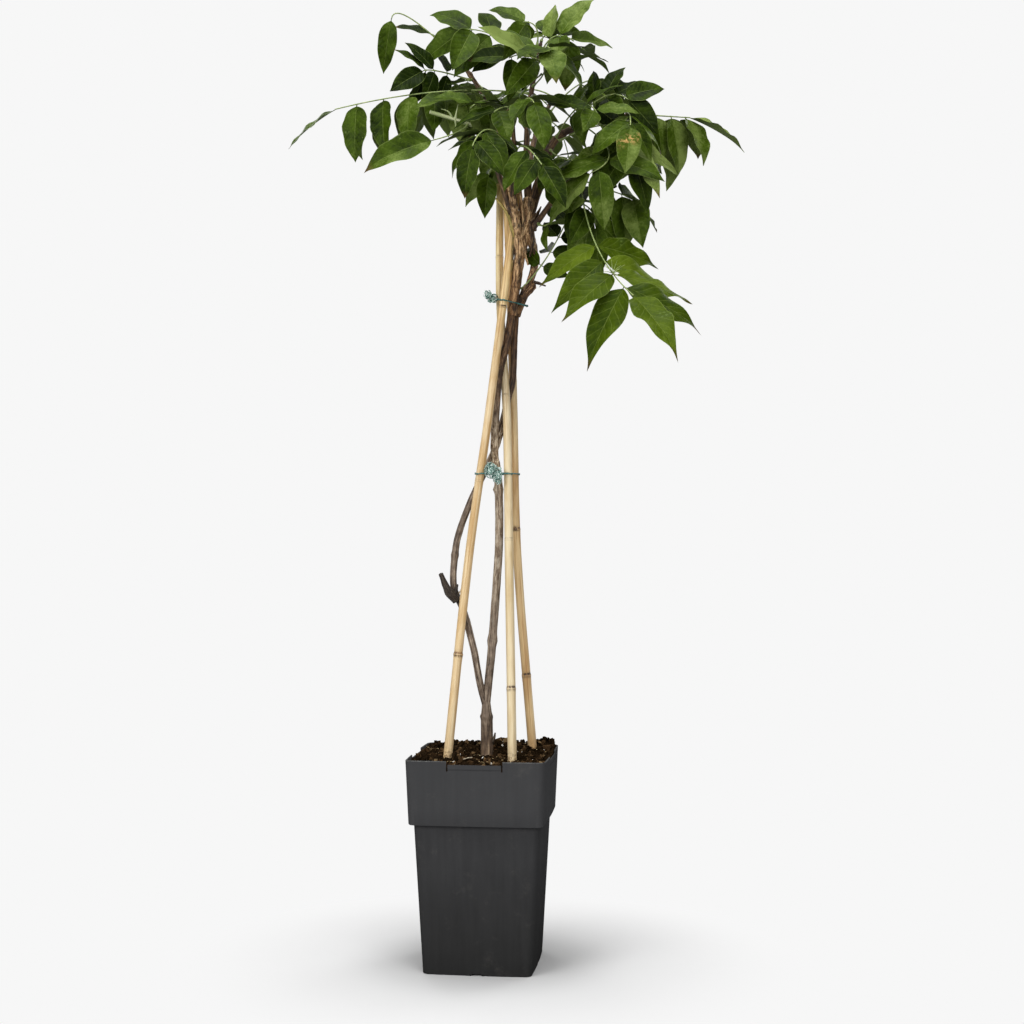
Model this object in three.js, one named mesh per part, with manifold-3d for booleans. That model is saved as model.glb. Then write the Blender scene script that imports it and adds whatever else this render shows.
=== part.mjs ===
// A wisteria with bare twisted stems and a leafy head, tied to three bamboo canes
// that stand in a deep square nursery pot.
// Millimetres, +Z up, origin in the middle of the pot's underside, pot front towards -Y.

import * as THREE from 'three';
import { mergeVertices } from 'three/addons/utils/BufferGeometryUtils.js';
import Module from 'manifold-3d';

const wasm = await Module();
wasm.setup();

// Driving dimensions of the pot
const potHeight = 276;
const rimHalf = 90;
const collarLow = 193;
const collarHalf = 86.6;
const bodyHalf = 80.5;
const baseHalf = 70.5;
const cornerRadius = 9;
const sideBulge = 1.5;
const wall = 2;
const floorThick = 5;
const shelfThick = 2.5;
const tab = { width: 72, drop: 4.5, slotWidth: 1.8, slotDrop: 13, cutReach: 30 };
const groove = { drop: 11, deep: 0.8, high: 1.6 };
const drain = { radius: 6, sides: 10, offset: 42, notchWidth: 14, notchHigh: 2.5 };

// Driving dimensions of the soil, canes and ties
const gap = 0.3;
const soilFront = 267;
const soilRise = 11;
const soilCrumb = { high: 1.5, ripple: 0.17 };
const soilMounds = [
  { x: 18, y: 42, high: 9, reach: 22 },
  { x: 72, y: 64, high: 10, reach: 15 },
  { x: -72, y: 52, high: -6, reach: 25 },
];
const caneSides = 8;
const caneSteps = 10;
const caneRadius = { low: 6.1, high: 5 };
const caneRing = { swell: 1.14, reach: 5 };
const tape = { clear: 0.6, thick: 0.8, high: 4, points: 24, halfSpan: 18 };
const ties = {
  lower: { height: 642, slope: 0 },
  upper: { height: 867, slope: -0.17 },
};

// Driving dimensions of the leaves
const seatGap = 0.5;
const stalkHalf = { seat: 1.5, tip: 0.9 };
const bladeThick = 0.8;
const blade = { rootHalf: 0.8, shoulder: 0.3, waist: 0.72, waistShare: 0.8, foldDegrees: 14, arch: 0.16 };
const leaflet = {
  swing: [78, 54], swingSpread: 7, droopSpread: 10, twistSpread: 16, lengthSpread: 0.08,
  firstShare: 0.84, lastPlace: 0.9,
};
const endLeaflet = { lengthShare: 1.08, lengthSpread: 0.05, droopSpread: 5, twistSpread: 12 };
const bladeClear = 0.5;
const stalkTouch = 0.01;
const droopMost = 68;
const bendSteps = [[0, 0], [16, 0], [-16, 0], [0, 14], [0, -14], [32, 0], [-32, 0], [48, 10], [-48, -10]];

// Points are written as seen by someone who stands a little to the right of the pot's front:
// across to the right, deep away from the viewer, and up from the ground.
const viewTurn = THREE.MathUtils.degToRad(7);

function seen([across, deep, up]) {
  return new THREE.Vector3(
    across * Math.cos(viewTurn) - deep * Math.sin(viewTurn),
    across * Math.sin(viewTurn) + deep * Math.cos(viewTurn),
    up,
  );
}

// A repeatable stream of numbers between 0 and 1
function numberStream(seed) {
  let state = seed;
  return () => {
    state = (state * 1664525 + 1013904223) % 4294967296;
    return state / 4294967296;
  };
}

// Closed solids

function solidOf(points, faces) {
  const vertProperties = Float32Array.from(points.flatMap((point) => point.toArray()));
  const triVerts = Uint32Array.from(faces.flat());
  return new wasm.Manifold(new wasm.Mesh({ numProp: 3, vertProperties, triVerts }));
}

function solidFromGeometry(geometry) {
  geometry.deleteAttribute('normal');
  geometry.deleteAttribute('uv');
  const merged = mergeVertices(geometry, 1e-4);
  const vertProperties = Float32Array.from(merged.attributes.position.array);
  const triVerts = Uint32Array.from(merged.index.array);
  return new wasm.Manifold(new wasm.Mesh({ numProp: 3, vertProperties, triVerts }));
}

// Skins a stack of rings with equal point counts and closes both ends
function skin(rings) {
  const count = rings[0].length;
  const faces = [];
  for (let i = 0; i + 1 < rings.length; i += 1) {
    for (let j = 0; j < count; j += 1) {
      const a = i * count + j;
      const b = i * count + ((j + 1) % count);
      faces.push([a, b, b + count], [a, b + count, a + count]);
    }
  }
  const last = (rings.length - 1) * count;
  for (let j = 1; j + 1 < count; j += 1) {
    faces.push([0, j + 1, j], [last, last + j, last + j + 1]);
  }
  return solidOf(rings.flat(), faces);
}

// Keeps the main body of a fused solid, which fills hollows and drops scraps
function mainBody(solid) {
  const bodies = solid.decompose();
  bodies.sort((a, b) => b.volume() - a.volume());
  return bodies[0];
}

function meshOf(name, solid, material) {
  const { vertProperties, triVerts } = solid.getMesh();
  const geometry = new THREE.BufferGeometry();
  geometry.setAttribute('position', new THREE.BufferAttribute(Float32Array.from(vertProperties), 3));
  geometry.setIndex(new THREE.BufferAttribute(Uint32Array.from(triVerts), 1));
  geometry.computeVertexNormals();
  const mesh = new THREE.Mesh(geometry, material);
  mesh.name = name;
  return mesh;
}

function box(sizes, centre) {
  return solidFromGeometry(new THREE.BoxGeometry(...sizes).translate(...centre));
}

// Pot

function squareRing(half, z, corner = cornerRadius) {
  const ring = [];
  const steps = 3;
  for (let side = 0; side < 4; side += 1) {
    const start = side * Math.PI / 2;
    const across = (half - corner) * Math.SQRT2;
    const diagonal = start + Math.PI / 4;
    const centre = new THREE.Vector3(across * Math.cos(diagonal), across * Math.sin(diagonal), z);
    for (let i = 0; i <= steps; i += 1) {
      const angle = start + i * Math.PI / 2 / steps;
      ring.push(new THREE.Vector3(corner * Math.cos(angle), corner * Math.sin(angle), 0).add(centre));
    }
    const middle = start + Math.PI / 2;
    const reach = half + sideBulge;
    ring.push(new THREE.Vector3(reach * Math.cos(middle), reach * Math.sin(middle), z));
  }
  return ring;
}

function bodyHalfAt(z) {
  return THREE.MathUtils.mapLinear(z, 0, collarLow, baseHalf, bodyHalf);
}

function collarHalfAt(z) {
  return THREE.MathUtils.mapLinear(z, collarLow, potHeight, collarHalf, rimHalf);
}

function potShell() {
  const shelfTop = collarLow + shelfThick;
  return skin([
    squareRing(baseHalf - 1, 0),
    squareRing(baseHalf, 1.5),
    squareRing(bodyHalf, collarLow),
    squareRing(collarHalf, collarLow),
    squareRing(rimHalf, potHeight),
    squareRing(rimHalf - wall, potHeight, cornerRadius - wall),
    squareRing(collarHalf - wall, shelfTop, cornerRadius - wall),
    squareRing(bodyHalf - wall, shelfTop, cornerRadius - wall),
    squareRing(bodyHalfAt(floorThick) - wall, floorThick, cornerRadius - wall),
  ]);
}

// What is cut from one side of the rim and of the base; turned four ways about Z
function sideCuts() {
  const slots = [-1, 1].map((end) => box(
    [tab.slotWidth, tab.cutReach, tab.slotDrop * 2],
    [end * (tab.width - tab.slotWidth) / 2, -rimHalf, potHeight],
  ));
  const dip = box([tab.width, tab.cutReach, tab.drop * 2], [0, -rimHalf, potHeight]);
  const grooveUp = potHeight - groove.drop;
  const grooveFace = collarHalfAt(grooveUp) + sideBulge - groove.deep;
  const grooveCut = box(
    [tab.width - tab.slotWidth * 3, tab.cutReach, groove.high],
    [0, -grooveFace - tab.cutReach / 2, grooveUp],
  );
  const notchIn = drain.offset - drain.radius / 2;
  const notchOut = baseHalf + 2 * sideBulge;
  const notch = box(
    [drain.notchWidth, notchOut - notchIn, drain.notchHigh * 2],
    [0, -(notchOut + notchIn) / 2, 0],
  );
  const hole = solidFromGeometry(
    new THREE.CylinderGeometry(drain.radius, drain.radius, floorThick * 4, drain.sides)
      .rotateX(Math.PI / 2).translate(0, -drain.offset, 0),
  );
  return wasm.Manifold.union([...slots, dip, grooveCut, notch, hole]);
}

function pot() {
  let shell = potShell();
  const cuts = sideCuts();
  for (let side = 0; side < 4; side += 1) {
    shell = shell.subtract(cuts.rotate([0, 0, side * 90]));
  }
  return mainBody(shell);
}

// Limbs: round tubes along smooth paths, used for canes, stems and short branches

function pathOf(points) {
  return new THREE.CatmullRomCurve3(points.map(seen), false, 'catmullrom', 0.5);
}

function evenSteps(count) {
  return Array.from({ length: count + 1 }, (unused, i) => i / count);
}

function ringsAlong(path, radiusAt, steps, sides) {
  const normal = new THREE.Vector3(0.6, 0.8, 0);
  return steps.map((t) => {
    const centre = path.getPoint(t);
    const tangent = path.getTangent(t);
    normal.addScaledVector(tangent, -normal.dot(tangent)).normalize();
    const side = new THREE.Vector3().crossVectors(tangent, normal);
    return Array.from({ length: sides }, (unused, j) => {
      const angle = j * 2 * Math.PI / sides;
      return centre.clone()
        .addScaledVector(normal, radiusAt(t) * Math.cos(angle))
        .addScaledVector(side, radiusAt(t) * Math.sin(angle));
    });
  });
}

// The place along a rising path where it passes a height
function stepAtHeight(path, height) {
  let low = 0;
  let high = 1;
  for (let i = 0; i < 30; i += 1) {
    const middle = (low + high) / 2;
    if (path.getPoint(middle).z < height) {
      low = middle;
    } else {
      high = middle;
    }
  }
  return low;
}

// Canes: foot in the soil, soil surface, both ties and the top; rings at the given heights
const canes = {
  cane_left: {
    path: pathOf([
      [-66, -26, 90], [-47, -21, 273], [-20, -14, 530], [6, -15, 716], [26, -16, 872], [45, -7, 1028],
    ]),
    rings: [406, 633, 860],
  },
  cane_front: {
    path: pathOf([
      [38, -70, 100], [37, -52, 277], [33, -28, 530], [30, -3, 716], [21, 13, 873], [21, 25, 1028],
    ]),
    rings: [364, 556, 745, 930],
  },
  cane_right: {
    path: pathOf([
      [72, 40, 150], [64, 35, 277], [44, 27, 530], [39, 20, 716], [35, 15, 873], [29, 2, 1028],
    ]),
    rings: [374, 569, 766, 945],
  },
};

function caneRadiusAt(t) {
  return THREE.MathUtils.lerp(caneRadius.low, caneRadius.high, t);
}

function cane({ path, rings }) {
  const swellings = rings.map((height) => stepAtHeight(path, height));
  const shoulders = rings.flatMap((height) => [
    stepAtHeight(path, height - caneRing.reach),
    stepAtHeight(path, height + caneRing.reach),
  ]);
  const clear = evenSteps(caneSteps).filter((t) => swellings.every((ring) => Math.abs(ring - t) > 0.02));
  const steps = [...clear, ...swellings, ...shoulders].sort((a, b) => a - b);
  const radiusAt = (t) => caneRadiusAt(t) * (swellings.includes(t) ? caneRing.swell : 1);
  return skin(ringsAlong(path, radiusAt, steps, caneSides));
}

// The plain hole that a cane or the trunk stands in, a little wider and deeper than it
function standingHole(path, radiusAt, steps, sides) {
  const rings = ringsAlong(path, (t) => radiusAt(t) + gap / Math.cos(Math.PI / sides), steps, sides);
  const down = path.getTangent(0).multiplyScalar(-gap);
  rings[0] = rings[0].map((point) => point.add(down));
  return skin(rings);
}

// Stems: every limb has its path and its radius at both ends
const stemSides = 8;
const limbs = {
  trunk: {
    path: pathOf([[5, -16, 205], [4, -16, 272], [4, -17, 310], [3, -16, 352]]),
    radius: [8.5, 7.5], count: 5, sides: stemSides,
  },
  stem_right: {
    path: pathOf([
      [3, -16, 340], [7, -16, 379], [10, -15, 409], [17, -10, 503], [20, -8, 560], [19, -5, 630],
      [14, -2, 668], [15, -1, 720], [20, -6, 775], [30, -6, 814], [38, -6, 862],
    ]),
    radius: [5.4, 5.4], count: 16, sides: stemSides,
  },
  stem_left: {
    path: pathOf([
      [2, -16, 340], [-6, -18, 373], [-13, -16, 412], [-27, 1, 462], [-40, 4, 494], [-38, 6, 539],
      [-32, 8, 568], [-16, 8, 610], [5, 9, 654], [19, 11, 688], [30, 12, 735], [37, 6, 762],
      [39, 3, 785], [40, 1, 820], [43, 2, 866],
    ]),
    radius: [4.6, 4.2], count: 20, sides: stemSides,
  },
  head: {
    path: pathOf([[37, -6, 850], [44, -9, 905], [52, -12, 955], [60, -10, 1004]]),
    radius: [6, 8.5], count: 6, sides: stemSides,
  },
  rear_strand: {
    path: pathOf([[43, 2, 850], [58, 2, 888], [67, 4, 921], [63, 8, 950], [56, 14, 990]]),
    radius: [4.2, 5.5], count: 8, sides: stemSides,
  },
  pruned_stub: {
    path: pathOf([[-57, -7, 511], [-47, -4, 489], [-36, 1, 476]]),
    radius: [5, 5.6], count: 3, sides: stemSides,
  },
  knob: {
    path: pathOf([[43, 2, 862], [50, 0, 874], [58, -3, 884], [66, -5, 892]]),
    radius: [5, 6.2], count: 4, sides: stemSides,
  },
  front_strand: {
    path: pathOf([[39, -7, 872], [45, -19, 925], [42, -22, 975], [36, -21, 1012]]),
    radius: [4.5, 5], count: 6, sides: stemSides,
  },
  branch_a: {
    path: pathOf([[42, -22, 965], [26, -15, 1014], [13, -14, 1053], [-2, -20, 1085]]),
    radius: [4.5, 3], count: 6, sides: stemSides,
  },
  branch_b: {
    path: pathOf([
      [58, 13, 972], [41, 22, 1020], [31, 28, 1055], [17, 34, 1109], [-6, 40, 1157], [-30, 40, 1192],
    ]),
    radius: [4.8, 2.6], count: 8, sides: stemSides,
  },
  branch_c: {
    path: pathOf([[59, -8, 985], [56, -2, 1062], [59, 4, 1122], [67, 2, 1171], [75, -4, 1209]]),
    radius: [4.8, 2.4], count: 7, sides: stemSides,
  },
  branch_d: {
    path: pathOf([
      [58, -10, 975], [78, -4, 1042], [88, -2, 1073], [108, -6, 1091], [149, -10, 1105], [197, -10, 1113],
    ]),
    radius: [7, 2.8], count: 9, sides: stemSides,
  },
  branch_e: {
    path: pathOf([[58, 13, 978], [61, 55, 1066], [75, 95, 1122], [94, 130, 1167]]),
    radius: [4.6, 2.6], count: 6, sides: stemSides,
  },
  branch_f: {
    path: pathOf([[37, -20, 1000], [40, -50, 1045], [38, -85, 1082]]),
    radius: [4.2, 2.6], count: 4, sides: stemSides,
  },
  branch_g: {
    path: pathOf([[56, -12, 955], [68, -17, 968], [81, -32, 984], [103, -58, 1010], [131, -80, 1024]]),
    radius: [4.6, 2.6], count: 7, sides: stemSides,
  },
};

function limbRadiusAt(limb, t) {
  return THREE.MathUtils.lerp(limb.radius[0], limb.radius[1], t);
}

function limbSolid(limb) {
  return skin(ringsAlong(limb.path, (t) => limbRadiusAt(limb, t), evenSteps(limb.count), limb.sides));
}

function stems() {
  return mainBody(wasm.Manifold.union(Object.values(limbs).map(limbSolid)));
}

// The pale green shoot, cut short, that leaves the end of the left branch
const youngShoot = {
  path: pathOf([[-2.2, -20.1, 1085.4], [-5.1, -21.3, 1091.6], [-22, -29, 1097], [-69, -46, 1108]]),
  radius: [2.6, 2.4], count: 6, sides: stemSides,
};

// Soil

// The soil rises towards the back, with small bumps, two mounds and a hollow
function soilUp(x, y) {
  const slope = THREE.MathUtils.mapLinear(y, -rimHalf, rimHalf, 0, soilRise);
  const crumbs = soilCrumb.high * Math.sin(x * soilCrumb.ripple + 1) * Math.cos(y * soilCrumb.ripple);
  const mounds = soilMounds.map((mound) => (
    mound.high * Math.exp(-((x - mound.x) ** 2 + (y - mound.y) ** 2) / mound.reach ** 2)
  ));
  return soilFront + slope + crumbs + mounds.reduce((sum, high) => sum + high);
}

function soil() {
  const corner = cornerRadius - wall - gap;
  const shelf = collarLow + shelfThick + gap;
  const inward = wall + gap;
  const edge = squareRing(collarHalfAt(soilFront) - inward, soilFront, corner);
  const shares = [1, 0.93, 0.82, 0.7, 0.57, 0.44, 0.3, 0.16];
  const topRings = shares.map((share) => edge.map(({ x, y }) => {
    const up = soilUp(x * share, y * share);
    return new THREE.Vector3(x * share, y * share, share === 1 ? Math.min(up, potHeight - gap) : up);
  }));
  const filling = skin([
    squareRing(bodyHalfAt(floorThick) - inward, floorThick + gap, corner),
    squareRing(bodyHalf - inward, shelf, corner),
    squareRing(collarHalf - inward, shelf, corner),
    ...topRings,
  ]);
  const holes = Object.values(canes).map(({ path }) => (
    standingHole(path, caneRadiusAt, evenSteps(caneSteps).slice(0, 5), caneSides)
  ));
  const { path, sides, count } = limbs.trunk;
  holes.push(standingHole(path, (t) => limbRadiusAt(limbs.trunk, t), evenSteps(count), sides));
  return mainBody(filling.subtract(wasm.Manifold.union(holes)));
}

// Ties: a band pulled tight round canes and stems, with a crumpled knot on it

// Circles that hold each cane and stem over the height of the band
function circlesAt({ height, slope }) {
  const round = Object.values(canes).map(({ path }) => ({ path, radiusAt: caneRadiusAt }));
  for (const limb of Object.values(limbs)) {
    if (limb.path.getPoint(0).z < height - tape.high && limb.path.getPoint(1).z > height + tape.high) {
      round.push({ path: limb.path, radiusAt: (t) => limbRadiusAt(limb, t) });
    }
  }
  const halfHigh = tape.high / 2 + Math.abs(slope) * tape.halfSpan;
  return round.map(({ path, radiusAt }) => {
    const t = stepAtHeight(path, height);
    const rise = path.getTangent(t).z;
    const drift = halfHigh * Math.sqrt(1 - rise * rise) / rise;
    return { centre: path.getPoint(t), radius: radiusAt(t) / rise + drift };
  });
}

// A loop at one lift from the circles; it falls to the right by its slope
function tapeLoop(tie, lift) {
  const circles = circlesAt(tie);
  const middle = circles.reduce((sum, { centre }) => sum + centre.x, 0) / circles.length;
  return Array.from({ length: tape.points }, (unused, k) => {
    const angle = k * 2 * Math.PI / tape.points;
    const outward = new THREE.Vector3(Math.cos(angle), Math.sin(angle), 0);
    const reach = ({ centre, radius }) => centre.dot(outward) + radius;
    const furthest = circles.reduce((best, circle) => (reach(circle) > reach(best) ? circle : best));
    const point = furthest.centre.clone().addScaledVector(outward, furthest.radius + lift);
    return point.setZ(tie.height + tie.slope * (point.x - middle));
  });
}

function tapeBand(tie) {
  const inner = tapeLoop(tie, tape.clear);
  const outer = tapeLoop(tie, tape.clear + tape.thick);
  const corners = [[inner, -1], [inner, 1], [outer, 1], [outer, -1]];
  const points = corners.flatMap(([loop, end]) => loop.map(({ x, y, z }) => (
    new THREE.Vector3(x, y, z + end * tape.high / 2)
  )));
  const faces = [];
  for (let row = 0; row < 4; row += 1) {
    const next = (row + 1) % 4;
    for (let k = 0; k < tape.points; k += 1) {
      const a = row * tape.points + k;
      const b = row * tape.points + ((k + 1) % tape.points);
      const c = next * tape.points + ((k + 1) % tape.points);
      const d = next * tape.points + k;
      faces.push([a, c, b], [a, d, c]);
    }
  }
  return solidOf(points, faces);
}

// A crumpled wad of tape: a round form with its points pushed in and out
function wad(centre, sizes, seed) {
  const draw = numberStream(seed);
  const ball = new THREE.IcosahedronGeometry(1, 1);
  ball.deleteAttribute('normal');
  ball.deleteAttribute('uv');
  const geometry = mergeVertices(ball, 1e-4);
  const { position } = geometry.attributes;
  const place = seen(centre);
  for (let i = 0; i < position.count; i += 1) {
    const push = 0.78 + 0.34 * draw();
    position.setXYZ(
      i,
      place.x + position.getX(i) * sizes[0] * push,
      place.y + position.getY(i) * sizes[1] * push,
      place.z + position.getZ(i) * sizes[2] * push,
    );
  }
  return solidFromGeometry(geometry);
}

function tieLower() {
  return mainBody(wasm.Manifold.union([
    tapeBand(ties.lower),
    wad([9, -24, 646], [9, 4.5, 10], 11),
    wad([18, -25, 640], [7, 4, 12], 23),
  ]));
}

function tieUpper() {
  return mainBody(wasm.Manifold.union([
    tapeBand(ties.upper),
    wad([11, 0, 873], [8, 4, 6], 37),
    wad([5, -2, 877], [6.5, 4, 6], 41),
  ]));
}

// Fronds: a leaf stalk with pairs of leaflets and an end leaflet. Each one is seated on a branch,
// passes its middle point, and ends where its end leaflet starts. "face" turns the frond's upper
// side from the sky towards the viewer, "droop" lets the side leaflets hang, both in degrees.
const usualFrond = { bare: 0.36, wide: 0.45, face: 30, droop: 20, endDroop: 20 };
const fronds = [
  { on: 'branch_c', at: 0.6, via: [-60, -8, 1143], tip: [-193, -30, 1115],
    pairs: 4, leaf: 76, wide: 0.44, bare: 0.52, face: 10, droop: 56, endDroop: 14 },
  { on: 'young_shoot', at: 0.66, via: [-38, -42, 1081], tip: [-64, -50, 1071],
    pairs: 0, leaf: 86, wide: 0.42, face: 72, endDroop: 0 },
  { on: 'branch_b', at: 1, via: [-96, 12, 1244], tip: [-122, 5, 1243],
    pairs: 0, leaf: 64, wide: 0.34, face: 60, endDroop: 5 },
  { on: 'branch_c', at: 0.75, via: [21, 10, 1217], tip: [-25, 0, 1227],
    pairs: 3, leaf: 72, face: 60, droop: 10, endDroop: 5 },
  { on: 'branch_c', at: 0.65, via: [79, -50, 1163], tip: [62, -75, 1171],
    pairs: 2, leaf: 80, wide: 0.38, face: 60, droop: 5, endDroop: -25 },
  { on: 'branch_c', at: 1, via: [81, 4, 1221], tip: [93, 8, 1230],
    pairs: 3, leaf: 44, face: 40, droop: 10, endDroop: 30 },
  { on: 'branch_c', at: 0.92, via: [93, -22, 1212], tip: [117, -32, 1203],
    pairs: 3, leaf: 66, wide: 0.5, face: 60, droop: 15, endDroop: 35 },
  { on: 'branch_c', at: 0.8, via: [79, -50, 1189], tip: [85, -90, 1176],
    pairs: 3, leaf: 62, wide: 0.5, droop: 30, endDroop: 50 },
  { on: 'branch_d', at: 0.66, via: [155, -38, 1129], tip: [186, -54, 1122],
    pairs: 4, leaf: 56, wide: 0.55, face: 70, droop: 10, endDroop: 10 },
  { on: 'branch_d', at: 0.9, via: [185, -60, 1104], tip: [185, -110, 1077],
    pairs: 3, leaf: 62, face: 40, droop: 40, endDroop: 30 },
  { on: 'branch_d', at: 1, via: [237, 0, 1113], tip: [272, 5, 1112],
    pairs: 3, leaf: 76, wide: 0.5, face: 15, droop: 60, endDroop: 62 },
  { on: 'branch_d', at: 0.9, via: [221, 42, 1108], tip: [253, 60, 1098],
    pairs: 3, leaf: 74, wide: 0.5, face: 45, droop: 55, endDroop: 55 },
  { on: 'branch_d', at: 0.8, via: [169, -50, 1077], tip: [189, -80, 1045],
    pairs: 3, leaf: 76, face: 10, droop: 35 },
  { on: 'branch_d', at: 0.72, via: [160, -80, 1049], tip: [137, -104, 1019],
    pairs: 3, leaf: 80, wide: 0.4, face: 50, droop: 15 },
  { on: 'branch_g', at: 0.9, via: [169, -50, 1004], tip: [196, -60, 994],
    pairs: 3, leaf: 68, wide: 0.5, face: 60, droop: 30, endDroop: 60 },
  { on: 'branch_g', at: 0.6, via: [130, -58, 986], tip: [144, -66, 958],
    pairs: 3, leaf: 58, face: 60, droop: 10 },
  { on: 'knob', at: 0.55, via: [84, -20, 927], tip: [113, -10, 985],
    pairs: 4, leaf: 50, face: 50, endDroop: 10 },
  { on: 'branch_g', at: 0.3, via: [86, -44, 966], tip: [100, -66, 990],
    pairs: 2, leaf: 46, face: 50, endDroop: 10 },
  { on: 'branch_g', at: 0.93, via: [142, -118, 925], tip: [183, -195, 853],
    pairs: 4, leaf: 106, wide: 0.36, bare: 0.5, droop: 12, endDroop: 5 },
  { on: 'branch_a', at: 0.7, via: [21, -60, 1069], tip: [9, -100, 1062],
    pairs: 3, leaf: 60, face: 40, droop: 20 },
  { on: 'branch_a', at: 0.5, via: [12, 10, 1046], tip: [6, 0, 1036],
    pairs: 3, leaf: 54, droop: 50, endDroop: 30 },
  { on: 'branch_f', at: 1, via: [53, -108, 1108], tip: [64, -130, 1100],
    pairs: 3, leaf: 58, droop: 45, endDroop: 60 },
  { on: 'branch_b', at: 0.76, via: [-18, 0, 1143], tip: [-40, -20, 1132],
    pairs: 3, leaf: 56, face: 50, droop: 30, endDroop: 30 },
  { on: 'branch_b', at: 0.88, via: [-58, 18, 1176], tip: [-79, 0, 1173],
    pairs: 3, leaf: 54, face: 80, droop: 0, endDroop: 10 },
  { on: 'branch_e', at: 1, via: [48, 190, 1193], tip: [-9, 230, 1174],
    pairs: 4, leaf: 66, face: -10, droop: 30, endDroop: 30 },
  { on: 'branch_e', at: 0.85, via: [148, 190, 1207], tip: [200, 230, 1196],
    pairs: 4, leaf: 66, face: -10, droop: 30, endDroop: 30 },
  { on: 'branch_e', at: 0.75, via: [105, 200, 1138], tip: [121, 240, 1096],
    pairs: 3, leaf: 66, face: -10, droop: 30, endDroop: 30 },
  { on: 'branch_b', at: 0.7, via: [-21, 110, 1187], tip: [-79, 160, 1176],
    pairs: 4, leaf: 64, face: -10, droop: 35, endDroop: 30 },
  { on: 'branch_d', at: 0.7, via: [184, 80, 1116], tip: [215, 130, 1098],
    pairs: 4, leaf: 64, face: -10, droop: 30, endDroop: 30 },
  { on: 'branch_f', at: 0.7, via: [8, -120, 1069], tip: [-12, -150, 1042],
    pairs: 3, leaf: 60, face: 20, droop: 30 },
  { on: 'branch_c', at: 0.9, via: [102, 80, 1226], tip: [124, 130, 1234],
    pairs: 3, leaf: 62, face: -10, droop: 25 },
  { on: 'branch_f', at: 0.6, via: [52, -130, 1046], tip: [73, -168, 1016],
    pairs: 3, leaf: 58, droop: 25 },
  { on: 'branch_d', at: 0.35, via: [98, -45, 1050], tip: [113, -80, 1039],
    pairs: 3, leaf: 58, face: 60, droop: 15 },
  { on: 'branch_c', at: 0.4, via: [37, -55, 1111], tip: [14, -85, 1099],
    pairs: 3, leaf: 58, face: 60, droop: 15 },
  { on: 'branch_d', at: 0.5, via: [124, -55, 1113], tip: [146, -80, 1097],
    pairs: 3, leaf: 56, face: 50 },
  { on: 'branch_e', at: 0.5, via: [21, 66, 1086], tip: [-7, 84, 1074],
    pairs: 3, leaf: 60, droop: 30 },
  { on: 'branch_b', at: 0.55, via: [8, -10, 1128], tip: [-17, -45, 1113],
    pairs: 3, leaf: 58, face: 60 },
  { on: 'branch_c', at: 0.55, via: [66, -60, 1126], tip: [82, -95, 1105],
    pairs: 3, leaf: 58, face: 50 },
  { on: 'branch_c', at: 0.96, via: [68, -14, 1226], tip: [51, -24, 1230],
    pairs: 2, leaf: 62, face: 60, droop: 15 },
  { on: 'branch_c', at: 0.85, via: [50, -22, 1188], tip: [33, -36, 1180],
    pairs: 2, leaf: 62, face: 60, droop: 15 },
  { on: 'branch_d', at: 0.5, via: [160, -50, 1090], tip: [190, -70, 1062],
    pairs: 1, leaf: 92, wide: 0.26, face: 50, droop: 20, endDroop: 0 },
  { on: 'branch_b', at: 0.95, via: [-46, 62, 1218], tip: [-71, 56, 1236],
    pairs: 0, leaf: 50, wide: 0.4, face: 35, endDroop: 5 },
].map((frond, index) => {
  const number = String(index + 1).padStart(2, '0');
  return { ...usualFrond, ...frond, name: `frond_${number}` };
});

// The stalk's curve, through its middle point to its tip. It starts just clear of the side of its
// branch, or of the branch's end where "at" is 1.
function stalkCurve(frond) {
  const branch = frond.on === 'young_shoot' ? youngShoot : limbs[frond.on];
  const seat = branch.path.getPoint(frond.at);
  const along = branch.path.getTangent(frond.at);
  const via = seen(frond.via);
  const tip = seen(frond.tip);
  const controlFrom = (start) => (
    via.clone().multiplyScalar(2).addScaledVector(start, -0.5).addScaledVector(tip, -0.5)
  );
  const leaving = controlFrom(seat).sub(seat).normalize();
  const sideways = via.clone().sub(seat);
  sideways.addScaledVector(along, -sideways.dot(along)).normalize();
  const outward = frond.at === 1 ? along : sideways;
  const surface = frond.at === 1 ? 0 : limbRadiusAt(branch, frond.at);
  const tilt = Math.sqrt(1 - leaving.dot(outward) ** 2);
  const start = seat.addScaledVector(outward, surface + seatGap + stalkHalf.seat * Math.SQRT2 * tilt);
  return new THREE.QuadraticBezierCurve3(start, controlFrom(start), tip);
}

// Tangent, upper side and left side of the frond at a place on its stalk
function frondAxes(frond, curve, t) {
  const tangent = curve.getTangent(t);
  const face = THREE.MathUtils.degToRad(frond.face);
  const upper = seen([0, -Math.sin(face), Math.cos(face)]);
  upper.addScaledVector(tangent, -upper.dot(tangent)).normalize();
  const side = new THREE.Vector3().crossVectors(upper, tangent);
  return { tangent, upper, side };
}

// The stalk is a box section with a short length at each pair of leaflets, whose side faces carry
// the leaflets' roots. Each ring runs upper left, upper right, lower right, lower left.
function stalkRings(frond, curve) {
  const places = [0, frond.bare / 2];
  for (let pair = 0; pair < frond.pairs; pair += 1) {
    const middle = pairPlace(frond, pair);
    const halfRoot = blade.rootHalf / curve.getLength();
    places.push(middle - halfRoot, middle + halfRoot);
  }
  places.push(1);
  return places.map((t) => {
    const { upper, side } = frondAxes(frond, curve, t);
    const half = THREE.MathUtils.lerp(stalkHalf.seat, stalkHalf.tip, Math.sqrt(t));
    const centre = curve.getPoint(t);
    return [[1, 1], [-1, 1], [-1, -1], [1, -1]].map(([across, up]) => (
      centre.clone().addScaledVector(side, across * half).addScaledVector(upper, up * half)
    ));
  });
}

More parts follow.
